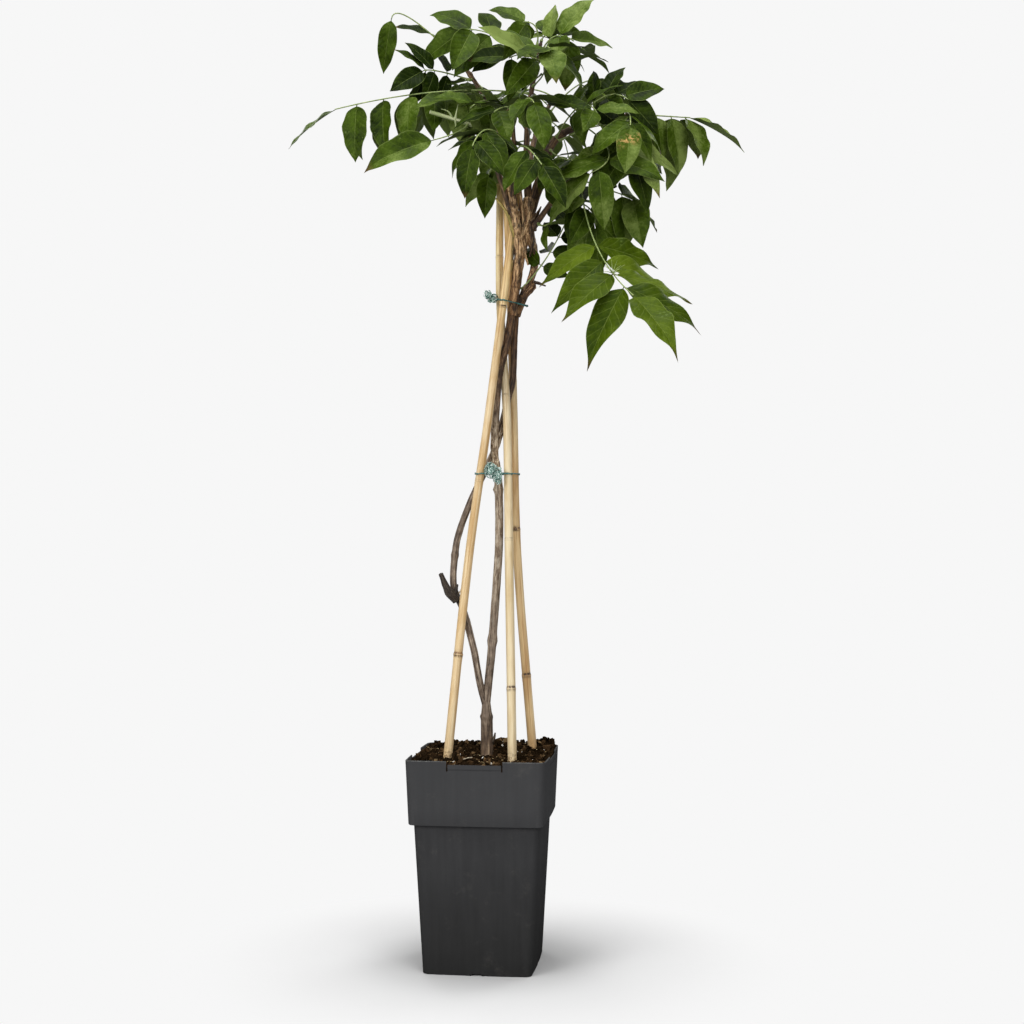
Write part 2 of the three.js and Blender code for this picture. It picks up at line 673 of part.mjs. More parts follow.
// How far along the pairs of leaflets a pair stands, from 0 to 1
function pairShare(frond, pair) {
  return frond.pairs > 1 ? pair / (frond.pairs - 1) : 1;
}

function pairPlace(frond, pair) {
  return THREE.MathUtils.lerp(frond.bare, leaflet.lastPlace, pairShare(frond, pair));
}

// Where each leaflet of a frond leaves the stalk, how it points and how long it is;
// hand is -1 on the right, 1 on the left and 0 at the end
function leafletPlan(frond, index) {
  const draw = numberStream(101 + index * 977);
  const spread = (amount) => (draw() * 2 - 1) * amount;
  const plan = [];
  for (let pair = 0; pair < frond.pairs; pair += 1) {
    const share = pairShare(frond, pair);
    const lengthShare = THREE.MathUtils.lerp(leaflet.firstShare, 1, Math.min(1, share * 2));
    for (const hand of [-1, 1]) {
      plan.push({
        pair,
        hand,
        at: pairPlace(frond, pair),
        swing: THREE.MathUtils.lerp(...leaflet.swing, share) + spread(leaflet.swingSpread),
        droop: frond.droop + spread(leaflet.droopSpread),
        twist: spread(leaflet.twistSpread),
        length: frond.leaf * lengthShare * (1 + spread(leaflet.lengthSpread)),
      });
    }
  }
  plan.push({
    pair: frond.pairs,
    hand: 0,
    at: 1,
    swing: 0,
    droop: frond.endDroop + spread(endLeaflet.droopSpread),
    twist: spread(endLeaflet.twistSpread),
    length: frond.leaf * (endLeaflet.lengthShare + spread(endLeaflet.lengthSpread)),
  });
  return plan;
}

// Direction, upper side and left side of one leaflet, after its extra bend
function leafletAxes(frond, curve, plan, [extraDroop, extraSwing]) {
  const { tangent, upper, side } = frondAxes(frond, curve, plan.at);
  const swing = THREE.MathUtils.degToRad(plan.swing + extraSwing) * plan.hand;
  const along = tangent.multiplyScalar(Math.cos(swing)).addScaledVector(side, Math.sin(swing));
  const turned = new THREE.Vector3().crossVectors(upper, along);
  const degrees = THREE.MathUtils.clamp(plan.droop + extraDroop, -droopMost, droopMost);
  const droop = THREE.MathUtils.degToRad(degrees);
  const forward = along.clone().multiplyScalar(Math.cos(droop)).addScaledVector(upper, -Math.sin(droop));
  const lifted = upper.clone().multiplyScalar(Math.cos(droop)).addScaledVector(along, Math.sin(droop));
  const twist = THREE.MathUtils.degToRad(plan.twist);
  return {
    forward,
    upper: lifted.clone().multiplyScalar(Math.cos(twist)).addScaledVector(turned, Math.sin(twist)),
    side: turned.clone().multiplyScalar(Math.cos(twist)).addScaledVector(lifted, -Math.sin(twist)),
  };
}

// Where in the flat list of ring points the root of a leaflet has its corners: upper right,
// upper left, lower left and lower right of the blade
function rootCorners({ pair, hand }) {
  const near = (2 + pair * 2) * 4;
  const far = near + 4;
  if (hand === 0) {
    return [near + 1, near, near + 3, near + 2];
  }
  return hand > 0 ? [far, near, near + 3, far + 3] : [near + 1, far + 1, far + 2, near + 2];
}

// The blade beyond its root: two sections with a raised edge, a midrib and a raised edge, then the
// point. It is drawn out to a point, folded up along its midrib and arched down along its length.
function bladePoints(frond, root, axes, length) {
  const halfWidth = length * frond.wide / 2;
  const fold = THREE.MathUtils.degToRad(blade.foldDegrees);
  const up = bladeThick / 2;
  const place = (s, sideways, lift) => root.clone()
    .addScaledVector(axes.forward, s * length)
    .addScaledVector(axes.upper, lift - blade.arch * length * s * s)
    .addScaledVector(axes.side, sideways);
  const points = [];
  for (const [s, share] of [[blade.shoulder, 1], [blade.waist, blade.waistShare]]) {
    const out = halfWidth * share * Math.cos(fold);
    const rise = halfWidth * share * Math.sin(fold);
    points.push(
      place(s, -out, rise + up), place(s, 0, up), place(s, out, rise + up),
      place(s, out, rise - up), place(s, 0, -up), place(s, -out, rise - up),
    );
  }
  points.push(place(1, 0, up), place(1, 0, -up));
  return points;
}

// Faces of a blade, from the four root corners at "root" and the fourteen blade points at "first"
function bladeFaces(root, first) {
  const [a, b, c, d] = root;
  const at = (number) => first + number;
  const faces = [
    [a, at(0), at(1)], [a, at(1), b], [b, at(1), at(2)], [b, at(2), at(3)], [b, at(3), c],
    [c, at(3), at(4)], [c, at(4), d], [d, at(4), at(5)], [d, at(5), at(0)], [d, at(0), a],
  ];
  for (let j = 0; j < 6; j += 1) {
    const next = (j + 1) % 6;
    faces.push([at(j), at(6 + j), at(6 + next)], [at(j), at(6 + next), at(next)]);
  }
  faces.push(
    [at(6), at(12), at(7)], [at(7), at(12), at(8)], [at(9), at(13), at(10)], [at(10), at(13), at(11)],
    [at(8), at(12), at(13)], [at(8), at(13), at(9)], [at(11), at(13), at(12)], [at(11), at(12), at(6)],
  );
  return faces;
}

// One leaflet by itself, closed at its root, to test what it would touch
function bladeSolid(corners, beyond) {
  const faces = bladeFaces([0, 1, 2, 3], 4);
  faces.push([0, 1, 2], [0, 2, 3]);
  return solidOf([...corners, ...beyond], faces);
}

// The whole frond as one skin: the stalk's faces, and each leaflet grown from its root face
function frondSolid(rings, leaflets) {
  const points = rings.flat();
  const last = rings.length - 1;
  const carries = (pair, hand) => leaflets.some((one) => (
    one.pair === pair && one.hand === hand
  ));
  const faces = [[3, 2, 1], [3, 1, 0]];
  const quad = (a, b, c, d) => faces.push([a, b, c], [a, c, d]);
  for (let i = 0; i < last; i += 1) {
    const pair = i >= 2 && i % 2 === 0 ? i / 2 - 1 : -1;
    const a = i * 4;
    quad(a, a + 1, a + 5, a + 4);
    quad(a + 2, a + 3, a + 7, a + 6);
    if (!carries(pair, 1)) {
      quad(a + 3, a, a + 4, a + 7);
    }
    if (!carries(pair, -1)) {
      quad(a + 1, a + 2, a + 6, a + 5);
    }
  }
  if (!carries(rings.length / 2 - 1.5, 0)) {
    quad(last * 4, last * 4 + 1, last * 4 + 2, last * 4 + 3);
  }
  for (const one of leaflets) {
    faces.push(...bladeFaces(rootCorners(one), points.length));
    points.push(...one.beyond);
  }
  return solidOf(points, faces);
}

// Solids that a leaflet must stay clear of, each with its owner and its bounding box
const obstacles = [];

function addObstacle(owner, solid) {
  obstacles.push({ owner, solid, box: solid.boundingBox() });
}

function boxesNear(a, b) {
  return [0, 1, 2].every((axis) => (
    a.min[axis] - bladeClear < b.max[axis] && b.min[axis] - bladeClear < a.max[axis]
  ));
}

function isClear(owner, solid) {
  const own = solid.boundingBox();
  const near = obstacles.filter((other) => other.owner !== owner && boxesNear(own, other.box));
  return near.every((other) => other.solid.minGap(solid, bladeClear) >= bladeClear);
}

// A leaflet takes the first bend that keeps it clear of everything else, or is left off
function clearLeaflet(frond, { curve, rings, solid: stalk }, plan) {
  const root = curve.getPoint(plan.at);
  const corners = rootCorners(plan).map((number) => rings.flat()[number]);
  for (const bend of bendSteps) {
    const beyond = bladePoints(frond, root, leafletAxes(frond, curve, plan, bend), plan.length);
    const solid = bladeSolid(corners, beyond);
    if (isClear(`${frond.name} stalk`, solid) && stalk.intersect(solid).volume() < stalkTouch) {
      return { ...plan, beyond, solid };
    }
  }
  return null;
}

// Assembly

const plastic = new THREE.MeshStandardMaterial({ color: 0x3b3c3e, roughness: 0.62, metalness: 0 });
const earth = new THREE.MeshStandardMaterial({ color: 0x2e2119, roughness: 1, metalness: 0 });
const bamboo = new THREE.MeshStandardMaterial({ color: 0xd8b988, roughness: 0.55, metalness: 0 });
const bark = new THREE.MeshStandardMaterial({ color: 0x5b4a3f, roughness: 0.9, metalness: 0 });
const greenWood = new THREE.MeshStandardMaterial({ color: 0x9fb06a, roughness: 0.7, metalness: 0 });
const tapeFilm = new THREE.MeshStandardMaterial({ color: 0x4fa79a, roughness: 0.35, metalness: 0 });
const foliage = new THREE.MeshStandardMaterial({ color: 0x3f6d2a, roughness: 0.6, metalness: 0 });

const plant = new THREE.Group();

function addPiece(name, solid, material) {
  addObstacle(name, solid);
  plant.add(meshOf(name, solid, material));
}

addPiece('pot', pot(), plastic);
addPiece('soil', soil(), earth);
for (const [name, entry] of Object.entries(canes)) {
  addPiece(name, cane(entry), bamboo);
}
addPiece('stems', stems(), bark);
addPiece('young_shoot', limbSolid(youngShoot), greenWood);
addPiece('tie_lower', tieLower(), tapeFilm);
addPiece('tie_upper', tieUpper(), tapeFilm);

// All stalks stand before the first leaflet is placed, so that no leaflet crosses a stalk
const stalks = fronds.map((frond) => {
  const curve = stalkCurve(frond);
  const rings = stalkRings(frond, curve);
  const solid = skin(rings);
  addObstacle(`${frond.name} stalk`, solid);
  return { curve, rings, solid };
});

fronds.forEach((frond, index) => {
  const placed = [];
  for (const plan of leafletPlan(frond, index)) {
    const clear = clearLeaflet(frond, stalks[index], plan);
    if (clear) {
      addObstacle(frond.name, clear.solid);
      placed.push(clear);
    }
  }
  plant.add(meshOf(frond.name, frondSolid(stalks[index].rings, placed), foliage));
});

export default plant;
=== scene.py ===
"""A wisteria with bare twisted stems and a leafy head, tied to three bamboo canes that stand in a
deep square nursery pot. Objects are in metres. Sizes and points are written in millimetres and
pass through MM or seen(), which takes them as someone sees them who stands a little to the right
of the pot's front: across to the right, deep away from the viewer, and up from the ground."""

import random
from math import cos, exp, pi, radians, sin, sqrt, tan

import bpy
import numpy as np
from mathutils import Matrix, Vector, noise
from mathutils.kdtree import KDTree


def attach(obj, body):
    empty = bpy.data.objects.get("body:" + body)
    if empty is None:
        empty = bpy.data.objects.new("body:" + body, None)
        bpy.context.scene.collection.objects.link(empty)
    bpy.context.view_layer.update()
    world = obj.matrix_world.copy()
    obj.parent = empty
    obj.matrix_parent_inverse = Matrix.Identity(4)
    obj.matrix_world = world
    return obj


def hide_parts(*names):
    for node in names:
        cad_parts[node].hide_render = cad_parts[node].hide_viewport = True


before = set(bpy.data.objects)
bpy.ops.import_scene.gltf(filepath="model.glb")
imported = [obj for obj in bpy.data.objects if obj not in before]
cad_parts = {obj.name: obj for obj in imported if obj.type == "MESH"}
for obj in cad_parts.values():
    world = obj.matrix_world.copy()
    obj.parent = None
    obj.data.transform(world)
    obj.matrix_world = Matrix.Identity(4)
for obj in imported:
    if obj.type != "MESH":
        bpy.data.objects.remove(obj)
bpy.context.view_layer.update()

MM = 0.001
VIEW_TURN = radians(7)

# Studio: brightness of what lies behind the object and of the light from all round, and radii in metres
BACKDROP = 0.93
AMBIENT = 0.3
FLOOR_RADIUS = 0.6
FAR_RADIUS = 30
DOME_RADIUS = 29
# Each lamp's place, the height that it aims at and its width, in metres, and its power in watts
LAMPS = {
    "top": ((0.0, -0.5, 3.2), 0.4, 2.4, 66),
    "key": ((-1.6, -2.2, 1.7), 0.8, 1.8, 45),
    "fill": ((1.3, -2.6, 1.5), 0.8, 1.8, 36),
    "back_left": ((-1.2, 2.3, 2.1), 0.8, 1.4, 14),
    "back_right": ((1.5, 2.0, 2.0), 0.8, 1.4, 20),
}
# The camera's place as seen() takes it, level and at the height of the middle of the frame
CAMERA = (36.8, -2302, 592)
LENS = 61.5

# Sizes of the pot; the tabs, grooves, drain holes and notches are the same on its four sides
POT_HIGH = 276
RIM_HALF = 90
COLLAR_LOW = 193
COLLAR_HALF = 86.6
BODY_HALF = 80.5
BASE_HALF = 70.5
CORNER = 9
BULGE = 1.5
WALL = 2
FLOOR_THICK = 5
SHELF_THICK = 2.5
TAB = {"width": 72, "drop": 4.5, "slot_width": 1.8, "slot_drop": 13, "reach": 30}
GROOVE = {"drop": 11, "deep": 0.8, "high": 1.6}
DRAIN = {"radius": 6, "offset": 42, "notch_width": 14, "notch_high": 2.5}

# Sizes of the soil, canes and ties
GAP = 0.3
SOIL_FRONT = 267
SOIL_RISE = 11
# Where the soil is heaped or hollow: across, back, how high and how wide
SOIL_MOUNDS = ((18, 42, 9, 22), (72, 64, 10, 15), (-72, 52, -10, 25))
# The rough surface: how high its lumps are and their sizes, with a seed for each size
SOIL_LUMPS = ((2.6, 11, 3.1), (1.5, 4.5, 7.7), (0.7, 2, 1.9))
# Crumbs of four kinds: how many, their least and greatest size, how flat, how light, and how deep they sink
CRUMBS = (
    (2600, (0.8, 3.2), 0.8, (0.13, 0.55), 0.2),
    (420, (2.2, 6.0), 0.5, (0.13, 0.62), 0.2),
    (150, (1.5, 5.5), 0.25, (0.55, 0.78), 0.0),
    (60, (0.7, 1.8), 0.9, (0.95, 1.0), 0.0),
)
STRAWS = {"count": 34, "reach": 70, "radius": 0.35}
TWIG = {"points": ((-33, -52, 271), (-27, -47, 273), (-20, -43, 274.5), (-15, -37, 274)), "radius": 0.7}
# A ring of a cane: its ridges and its dark lines, as bumps along the cane, and where its fine steps are
RING_RIDGES = ((0.55, 0, 1.4), (0.25, -3.5, 2.5), (-0.2, 1.9, 0.9))
RING_DARKS = ((1.6, 1.6, 0.9), (0.7, -1.0, 0.7))
RING_STEPS = (-6, -3, -1.6, -0.8, 0, 0.8, 1.6, 3, 5, 8, 12)
# Radius of a cane at its foot and top, and the hole in its top
CANE_RADIUS = (6.1, 5.0)
HOLLOW = {"share": 0.45, "deep": 14}
TAPE = {"clear": 0.6, "thick": 0.8, "high": 4, "points": 96, "half_span": 18}
RIBBONS = 11

# Sizes of the leaves
SEAT_GAP = 0.5
STALK_HALF = (1.5, 0.9)
# Fold at the midrib, arch from base to tip as a share of the length, and the blade's skin
FOLD = radians(14)
ARCH = 0.16
BLADE = {"stalk": 3.2, "stalk_half": 0.55, "thin": 0.22, "rib": 0.75, "rib_half": 0.55, "crease": 1.2}
DROOP_MOST = 68
# How a leaflet's solid may have been turned to keep it clear: changes of its droop and swing in degrees
BENDS = ((0, 0), (16, 0), (-16, 0), (0, 14), (0, -14), (32, 0), (-32, 0), (48, 10), (-48, -10))


def seen(across, deep, up):
    return MM * np.array((
        across * cos(VIEW_TURN) - deep * sin(VIEW_TURN),
        across * sin(VIEW_TURN) + deep * cos(VIEW_TURN),
        up,
    ))


def lerp(a, b, t):
    return a + (b - a) * t


def unit(vector):
    return vector / np.linalg.norm(vector)


def bump_at(x, centre, reach):
    return np.exp(-((x - centre) / reach) ** 2)


def bumps_at(x, bumps):
    """The sum of several bumps, from the height, centre and reach of each"""
    return sum(high * bump_at(x, centre, reach) for high, centre, reach in bumps)


def number_stream(seed):
    """A repeatable stream of numbers between 0 and 1"""
    state = seed
    while True:
        state = (state * 1664525 + 1013904223) % 4294967296
        yield state / 4294967296


class Curve:
    """What paths and arcs share"""

    def length(self):
        places = np.array([self.at(t) for t in np.linspace(0, 1, 60)])
        return np.linalg.norm(np.diff(places, axis=0), axis=1).sum()


class Path(Curve):
    """A smooth path through points, with an equal share of its length from 0 to 1 between each two"""

    def __init__(self, points, as_seen=True):
        self.points = np.array([seen(*point) for point in points] if as_seen else points, float)

    def at(self, t):
        points, last = self.points, len(self.points) - 1
        place = min(max(t, 0.0), 1.0) * last
        i = min(int(place), last - 1)
        w = place - i
        a, b = points[i], points[i + 1]
        before = points[i - 1] if i > 0 else 2 * a - b
        after = points[i + 2] if i + 2 <= last else 2 * b - a
        leave, arrive = (b - before) / 2, (after - a) / 2
        return (a + leave * w + (3 * (b - a) - 2 * leave - arrive) * w ** 2
                + (2 * (a - b) + leave + arrive) * w ** 3)

    def tangent(self, t):
        reach = 0.0001
        return unit(self.at(min(t + reach, 1)) - self.at(max(t - reach, 0)))

    def step_at_height(self, height):
        low, high = 0.0, 1.0
        for _ in range(30):
            middle = (low + high) / 2
            if self.at(middle)[2] < height:
                low = middle
            else:
                high = middle
        return low


class Arc(Curve):
    """A curve with one bend, pulled by its middle control point"""

    def __init__(self, start, control, end):
        self.start, self.control, self.end = start, control, end

    def at(self, t):
        return self.start * (1 - t) ** 2 + self.control * 2 * t * (1 - t) + self.end * t ** 2

    def tangent(self, t):
        return unit((self.control - self.start) * (1 - t) + (self.end - self.control) * t)


# Meshes


class Shape:
    """Gathers points, faces with their map places and materials, and named numbers per point"""

    def __init__(self, marks=()):
        self.points, self.faces, self.maps, self.slots = [], [], [], []
        self.marks = {name: [] for name in marks}

    def add(self, points, faces, slot=0, maps=None, **marks):
        """maps holds one pair for each corner of each face"""
        first = len(self.points)
        self.points.extend(points)
        self.faces.extend([first + number for number in face] for face in faces)
        self.maps.extend(maps or [(0.0, 0.0)] * sum(map(len, faces)))
        self.slots.extend([slot] * len(faces))
        for name, values in self.marks.items():
            values.extend(np.broadcast_to(marks.get(name, 0.0), len(points)))

    def grid(self, points, mapped=None, slot=0, around=True, **marks):
        """points is rows by columns, where around joins the last column to the first; a mark is a number,
        or has one for each row or each point"""
        rows, columns = points.shape[:2]
        mapped = np.zeros((rows, columns + 1, 2)) if mapped is None else mapped
        faces, maps = [], []
        for i in range(rows - 1):
            for j in range(columns if around else columns - 1):
                here, there = i * columns, (i + 1) * columns
                k = (j + 1) % columns
                faces.append((here + j, here + k, there + k, there + j))
                maps.extend((mapped[i, j], mapped[i, j + 1], mapped[i + 1, j + 1], mapped[i + 1, j]))
        flat = {name: np.broadcast_to(value, (rows, columns)).reshape(-1) for name, value in marks.items()}
        self.add(points.reshape(-1, 3), faces, slot, maps, **flat)

    def fan(self, ring, centre=None, slot=0, flip=False, **marks):
        """Closes a ring with a point, which is its own middle unless another is given"""
        count = len(ring)
        faces = [(i, (i + 1) % count, count)[::-1 if flip else 1] for i in range(count)]
        self.add([*ring, ring.mean(0) if centre is None else centre], faces, slot, **marks)

    def tube(self, rings, mapped=None, **marks):
        """A grid of rings with both ends closed"""
        self.grid(rings, mapped, **marks)
        self.fan(rings[-1], **marks)
        self.fan(rings[0], flip=True, **marks)

    def cap(self, ring):
        """One face over a ring of points that are there already"""
        self.faces.append(ring)
        self.maps.extend([(0.0, 0.0)] * len(ring))
        self.slots.append(0)

    def build(self, name, materials, smooth=True):
        mesh = bpy.data.meshes.new(name)
        mesh.from_pydata(np.asarray(self.points).tolist(), [], self.faces)
        layer = mesh.uv_layers.new(name="Flat")
        layer.data.foreach_set("uv", np.asarray(self.maps, np.float32).ravel())
        mesh.polygons.foreach_set("material_index", self.slots)
        mesh.polygons.foreach_set("use_smooth", [smooth] * len(self.faces))
        for mark, values in self.marks.items():
            attribute = mesh.attributes.new(mark, "FLOAT", "POINT")
            attribute.data.foreach_set("value", np.asarray(values, np.float32))
        for material in materials:
            mesh.materials.append(material)
        piece = bpy.data.objects.new(name, mesh)
        bpy.context.scene.collection.objects.link(piece)
        return piece


def place_piece(piece, slot, *nodes):
    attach(piece, "root")
    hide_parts(*nodes)


def rings_along(path, radii, steps):
    """Rings of points square to the path; radii is rows by sides, in metres"""
    normal = np.array((0.6, 0.8, 0.0))
    sides = radii.shape[1]
    angles = np.arange(sides) * 2 * pi / sides
    rings = []
    for t, radius in zip(steps, radii):
        tangent = path.tangent(t)
        normal = unit(normal - tangent * normal.dot(tangent))
        spokes = np.outer(np.cos(angles), normal) + np.outer(np.sin(angles), np.cross(tangent, normal))
        rings.append(path.at(t) + spokes * radius[:, None])
    return np.array(rings)


def by_row(values):
    """Marks for a grid, one for each row"""
    return np.reshape(values, (-1, 1))


def tube_map(steps, length, radius, sides):
    """Map places of a tube in metres: round it and along it"""
    around = np.arange(sides + 1) / sides * 2 * pi * radius
    return np.stack(np.meshgrid(around, np.asarray(steps) * length), axis=-1)


def rough(point, scale, seed=0.0):
    """Smooth noise of about -1 to 1 at a point in metres; scale is the size of its lumps in millimetres"""
    return noise.noise(Vector(point) / (scale * MM) + Vector((seed, seed * 0.37, -seed)))


# Materials


class Look:
    """A material and the nodes that make its pattern; colour is what has been painted so far"""

    def __init__(self, name):
        self.material = bpy.data.materials.new(name)
        self.material.use_nodes = True
        self.tree = self.material.node_tree
        self.shader = self.tree.nodes["Principled BSDF"]
        self.colour = None

    def node(self, kind, inputs=(), **settings):
        made = self.tree.nodes.new(kind)
        for key, value in settings.items():
            setattr(made, key, value)
        for key, value in dict(inputs).items():
            self.feed(made.inputs[key], value)
        return made

    def feed(self, socket, value):
        if isinstance(value, bpy.types.NodeSocket):
            self.tree.links.new(value, socket)
        else:
            socket.default_value = value

    def place(self, kind="Object"):
        return self.node("ShaderNodeTexCoord").outputs[kind]

    def axis(self, number, kind="Object"):
        return self.node("ShaderNodeSeparateXYZ", {0: self.place(kind)}).outputs[number]

    def mark(self, name):
        return self.node("ShaderNodeAttribute", attribute_name=name).outputs["Fac"]

    def noise(self, scale, detail=4.0, roughness=0.55, distortion=0.0, kind="Object", stretch=(1, 1, 1)):
        """A number of stretch below 1 draws the noise out along that axis"""
        place = self.node("ShaderNodeMapping", {"Vector": self.place(kind), "Scale": stretch}).outputs[0]
        inputs = {"Vector": place, "Scale": scale, "Detail": detail, "Roughness": roughness}
        return self.node("ShaderNodeTexNoise", {**inputs, "Distortion": distortion}).outputs["Fac"]

    def streaks(self, scale, stretch, *rest):
        """Noise that is drawn out along a tube by its map"""
        return self.noise(scale, *rest, kind="UV", stretch=(1, stretch, 1))

    def math(self, operation, a, b=0.0, clamp=False):
        return self.node("ShaderNodeMath", {0: a, 1: b}, operation=operation, use_clamp=clamp).outputs[0]

    def plus(self, a, b, clamp=False):
        return self.math("ADD", a, b, clamp)

    def minus(self, a, b):
        return self.math("SUBTRACT", a, b)

    def times(self, a, b):
        return self.math("MULTIPLY", a, b)

    def span(self, value, low, high, to_low=0.0, to_high=1.0):
        inputs = {"Value": value, "From Min": low, "From Max": high, "To Min": to_low, "To Max": to_high}
        return self.node("ShaderNodeMapRange", inputs, interpolation_type="SMOOTHSTEP").outputs[0]

    def ramp(self, value, *stops):
        made = self.node("ShaderNodeValToRGB", {"Fac": value})
        elements = made.color_ramp.elements
        while len(elements) < len(stops):
            elements.new(0.5)
        for element, (place, colour) in zip(elements, stops):
            element.position = place
            element.color = (*colour, 1)
        return made.outputs["Color"]

    def mix(self, factor, a, b, blend="MIX"):
        made = self.node("ShaderNodeMix", data_type="RGBA", blend_type=blend)
        for number, value in ((0, factor), (6, a), (7, b)):
            self.feed(made.inputs[number], (*value, 1) if isinstance(value, tuple) else value)
        return made.outputs[2]

    def paint(self, colour, factor, *shares):
        """Lays a colour over what is there, as far as the product of the factor and its shares says"""
        for share in shares:
            factor = self.times(factor, share)
        self.colour = self.mix(factor, self.colour, colour)

    def tint(self, colour, *factors):
        """Multiplies what is there by a colour"""
        self.paint(self.mix(1.0, self.colour, colour, "MULTIPLY"), *factors)

    def bump(self, height, distance, strength=1.0):
        inputs = {"Height": height, "Distance": distance, "Strength": strength}
        self.feed(self.shader.inputs["Normal"], self.node("ShaderNodeBump", inputs).outputs[0])

    def finish(self, roughness, specular=0.5):
        self.feed(self.shader.inputs["Base Color"], self.colour)
        self.feed(self.shader.inputs["Roughness"], roughness)
        self.shader.inputs["Specular IOR Level"].default_value = specular
        return self.material

    def glow(self):
        return self.node("ShaderNodeEmission", {"Color": (BACKDROP, BACKDROP, BACKDROP, 1)}).outputs[0]

    def show(self, shader):
        self.tree.links.new(shader, self.tree.nodes["Material Output"].inputs["Surface"])


def pot_look():
    look = Look("pot_plastic")
    up = look.axis(2)
    clouds = look.noise(14, 5, 0.6)
    streaks = look.noise(130, 3, stretch=(1, 1, 0.06))
    # Painted shade: the body darkens from below the collar down to the foot, and the collar is lighter than
    # the body
    rise = look.span(up, 0.0, COLLAR_LOW * MM)
    collar = look.span(up, (COLLAR_LOW - 1) * MM, COLLAR_LOW * MM)
    dark, light = (look.mix(collar, look.mix(rise, foot, body), rim) for foot, body, rim in (
        ((0.016, 0.016, 0.016), (0.026, 0.026, 0.027), (0.038, 0.0382, 0.0398)),
        ((0.032, 0.032, 0.032), (0.050, 0.050, 0.052), (0.060, 0.0603, 0.0622)),
    ))
    look.colour = look.mix(look.times(look.plus(clouds, streaks), 0.5), dark, light)
    look.paint((0.15, 0.14, 0.125), look.span(look.noise(36, 8, 0.7), 0.54, 0.8), 0.16)
    # A pale band along the top edge of the rim: partly wear, partly a painted sheen in place of the gloss, as
    # the pot has no specular
    edge = look.span(up, (POT_HIGH - 1.4) * MM, (POT_HIGH - 0.5) * MM)
    look.paint((0.15, 0.15, 0.145), edge, look.span(streaks, 0.3, 0.6), 0.6)
    look.bump(look.noise(900, 2), 0.0002, 0.25)
    return look.finish(look.span(clouds, 0.2, 0.8, 0.42, 0.6), 0.0)


def soil_look():
    look = Look("soil")
    grain, tone = look.noise(420, 6, 0.7), look.mark("tone")
    clumps = look.span(look.noise(60), 0.38, 0.62)
    look.colour = look.mix(clumps, (0.0034, 0.0022, 0.0012), (0.032, 0.019, 0.009))
    look.paint((0.085, 0.048, 0.022), look.span(grain, 0.55, 0.8))
    bits = look.ramp(tone, (0.0, (0.0045, 0.0028, 0.0015)), (0.35, (0.018, 0.011, 0.0055)),
                     (0.55, (0.050, 0.028, 0.013)), (0.72, (0.14, 0.085, 0.040)),
                     (0.85, (0.50, 0.38, 0.20)), (1.0, (0.85, 0.83, 0.78)))
    look.paint(bits, look.span(tone, 0.0, 0.12))
    look.bump(grain, 0.0012)
    return look.finish(0.9, 0.0)


def bamboo_look(name, shade, light, deep):
    look = Look(name)
    up, dark = look.axis(2), look.mark("dark")
    fibres = look.streaks(1400, 0.012, 3, 0.6)
    lines = look.streaks(330, 0.018, 4, 0.65)
    look.colour = look.mix(look.span(look.streaks(60, 0.25, 3), 0.35, 0.65), shade, light)
    look.paint(deep, look.span(fibres, 0.44, 0.64), 0.42)
    look.paint(deep, look.span(lines, 0.54, 0.64), 0.72)
    look.paint((0.86, 0.74, 0.50), look.span(lines, 0.46, 0.36), 0.35)
    look.tint((1.16, 1.12, 0.92), look.span(up, 0.75, 0.95))
    edges = look.span(look.streaks(260, 0.008, 3, 0.6), 0.53, 0.60)
    look.paint((0.36, 0.18, 0.05), edges, look.span(up, 0.6, 0.9, 0.0, 0.8))
    look.paint((0.20, 0.11, 0.045), look.span(look.streaks(110, 0.35, 5, 0.75), 0.64, 0.76), 0.4)
    splashes = look.span(look.noise(300, 5, 0.7), 0.44, 0.60)
    look.paint((0.16, 0.085, 0.035), splashes, look.span(up, 0.272, 0.292, 0.8, 0.0))
    look.paint((0.22, 0.11, 0.04), dark, 0.5)
    look.paint((0.06, 0.034, 0.018), dark, look.span(look.streaks(260, 0.5, 3, 0.6), 0.42, 0.56))
    look.paint((0.80, 0.66, 0.42), look.mark("cut"))
    look.bump(fibres, 0.0004, 0.5)
    return look.finish(look.span(fibres, 0.3, 0.7, 0.34, 0.5), 0.4)


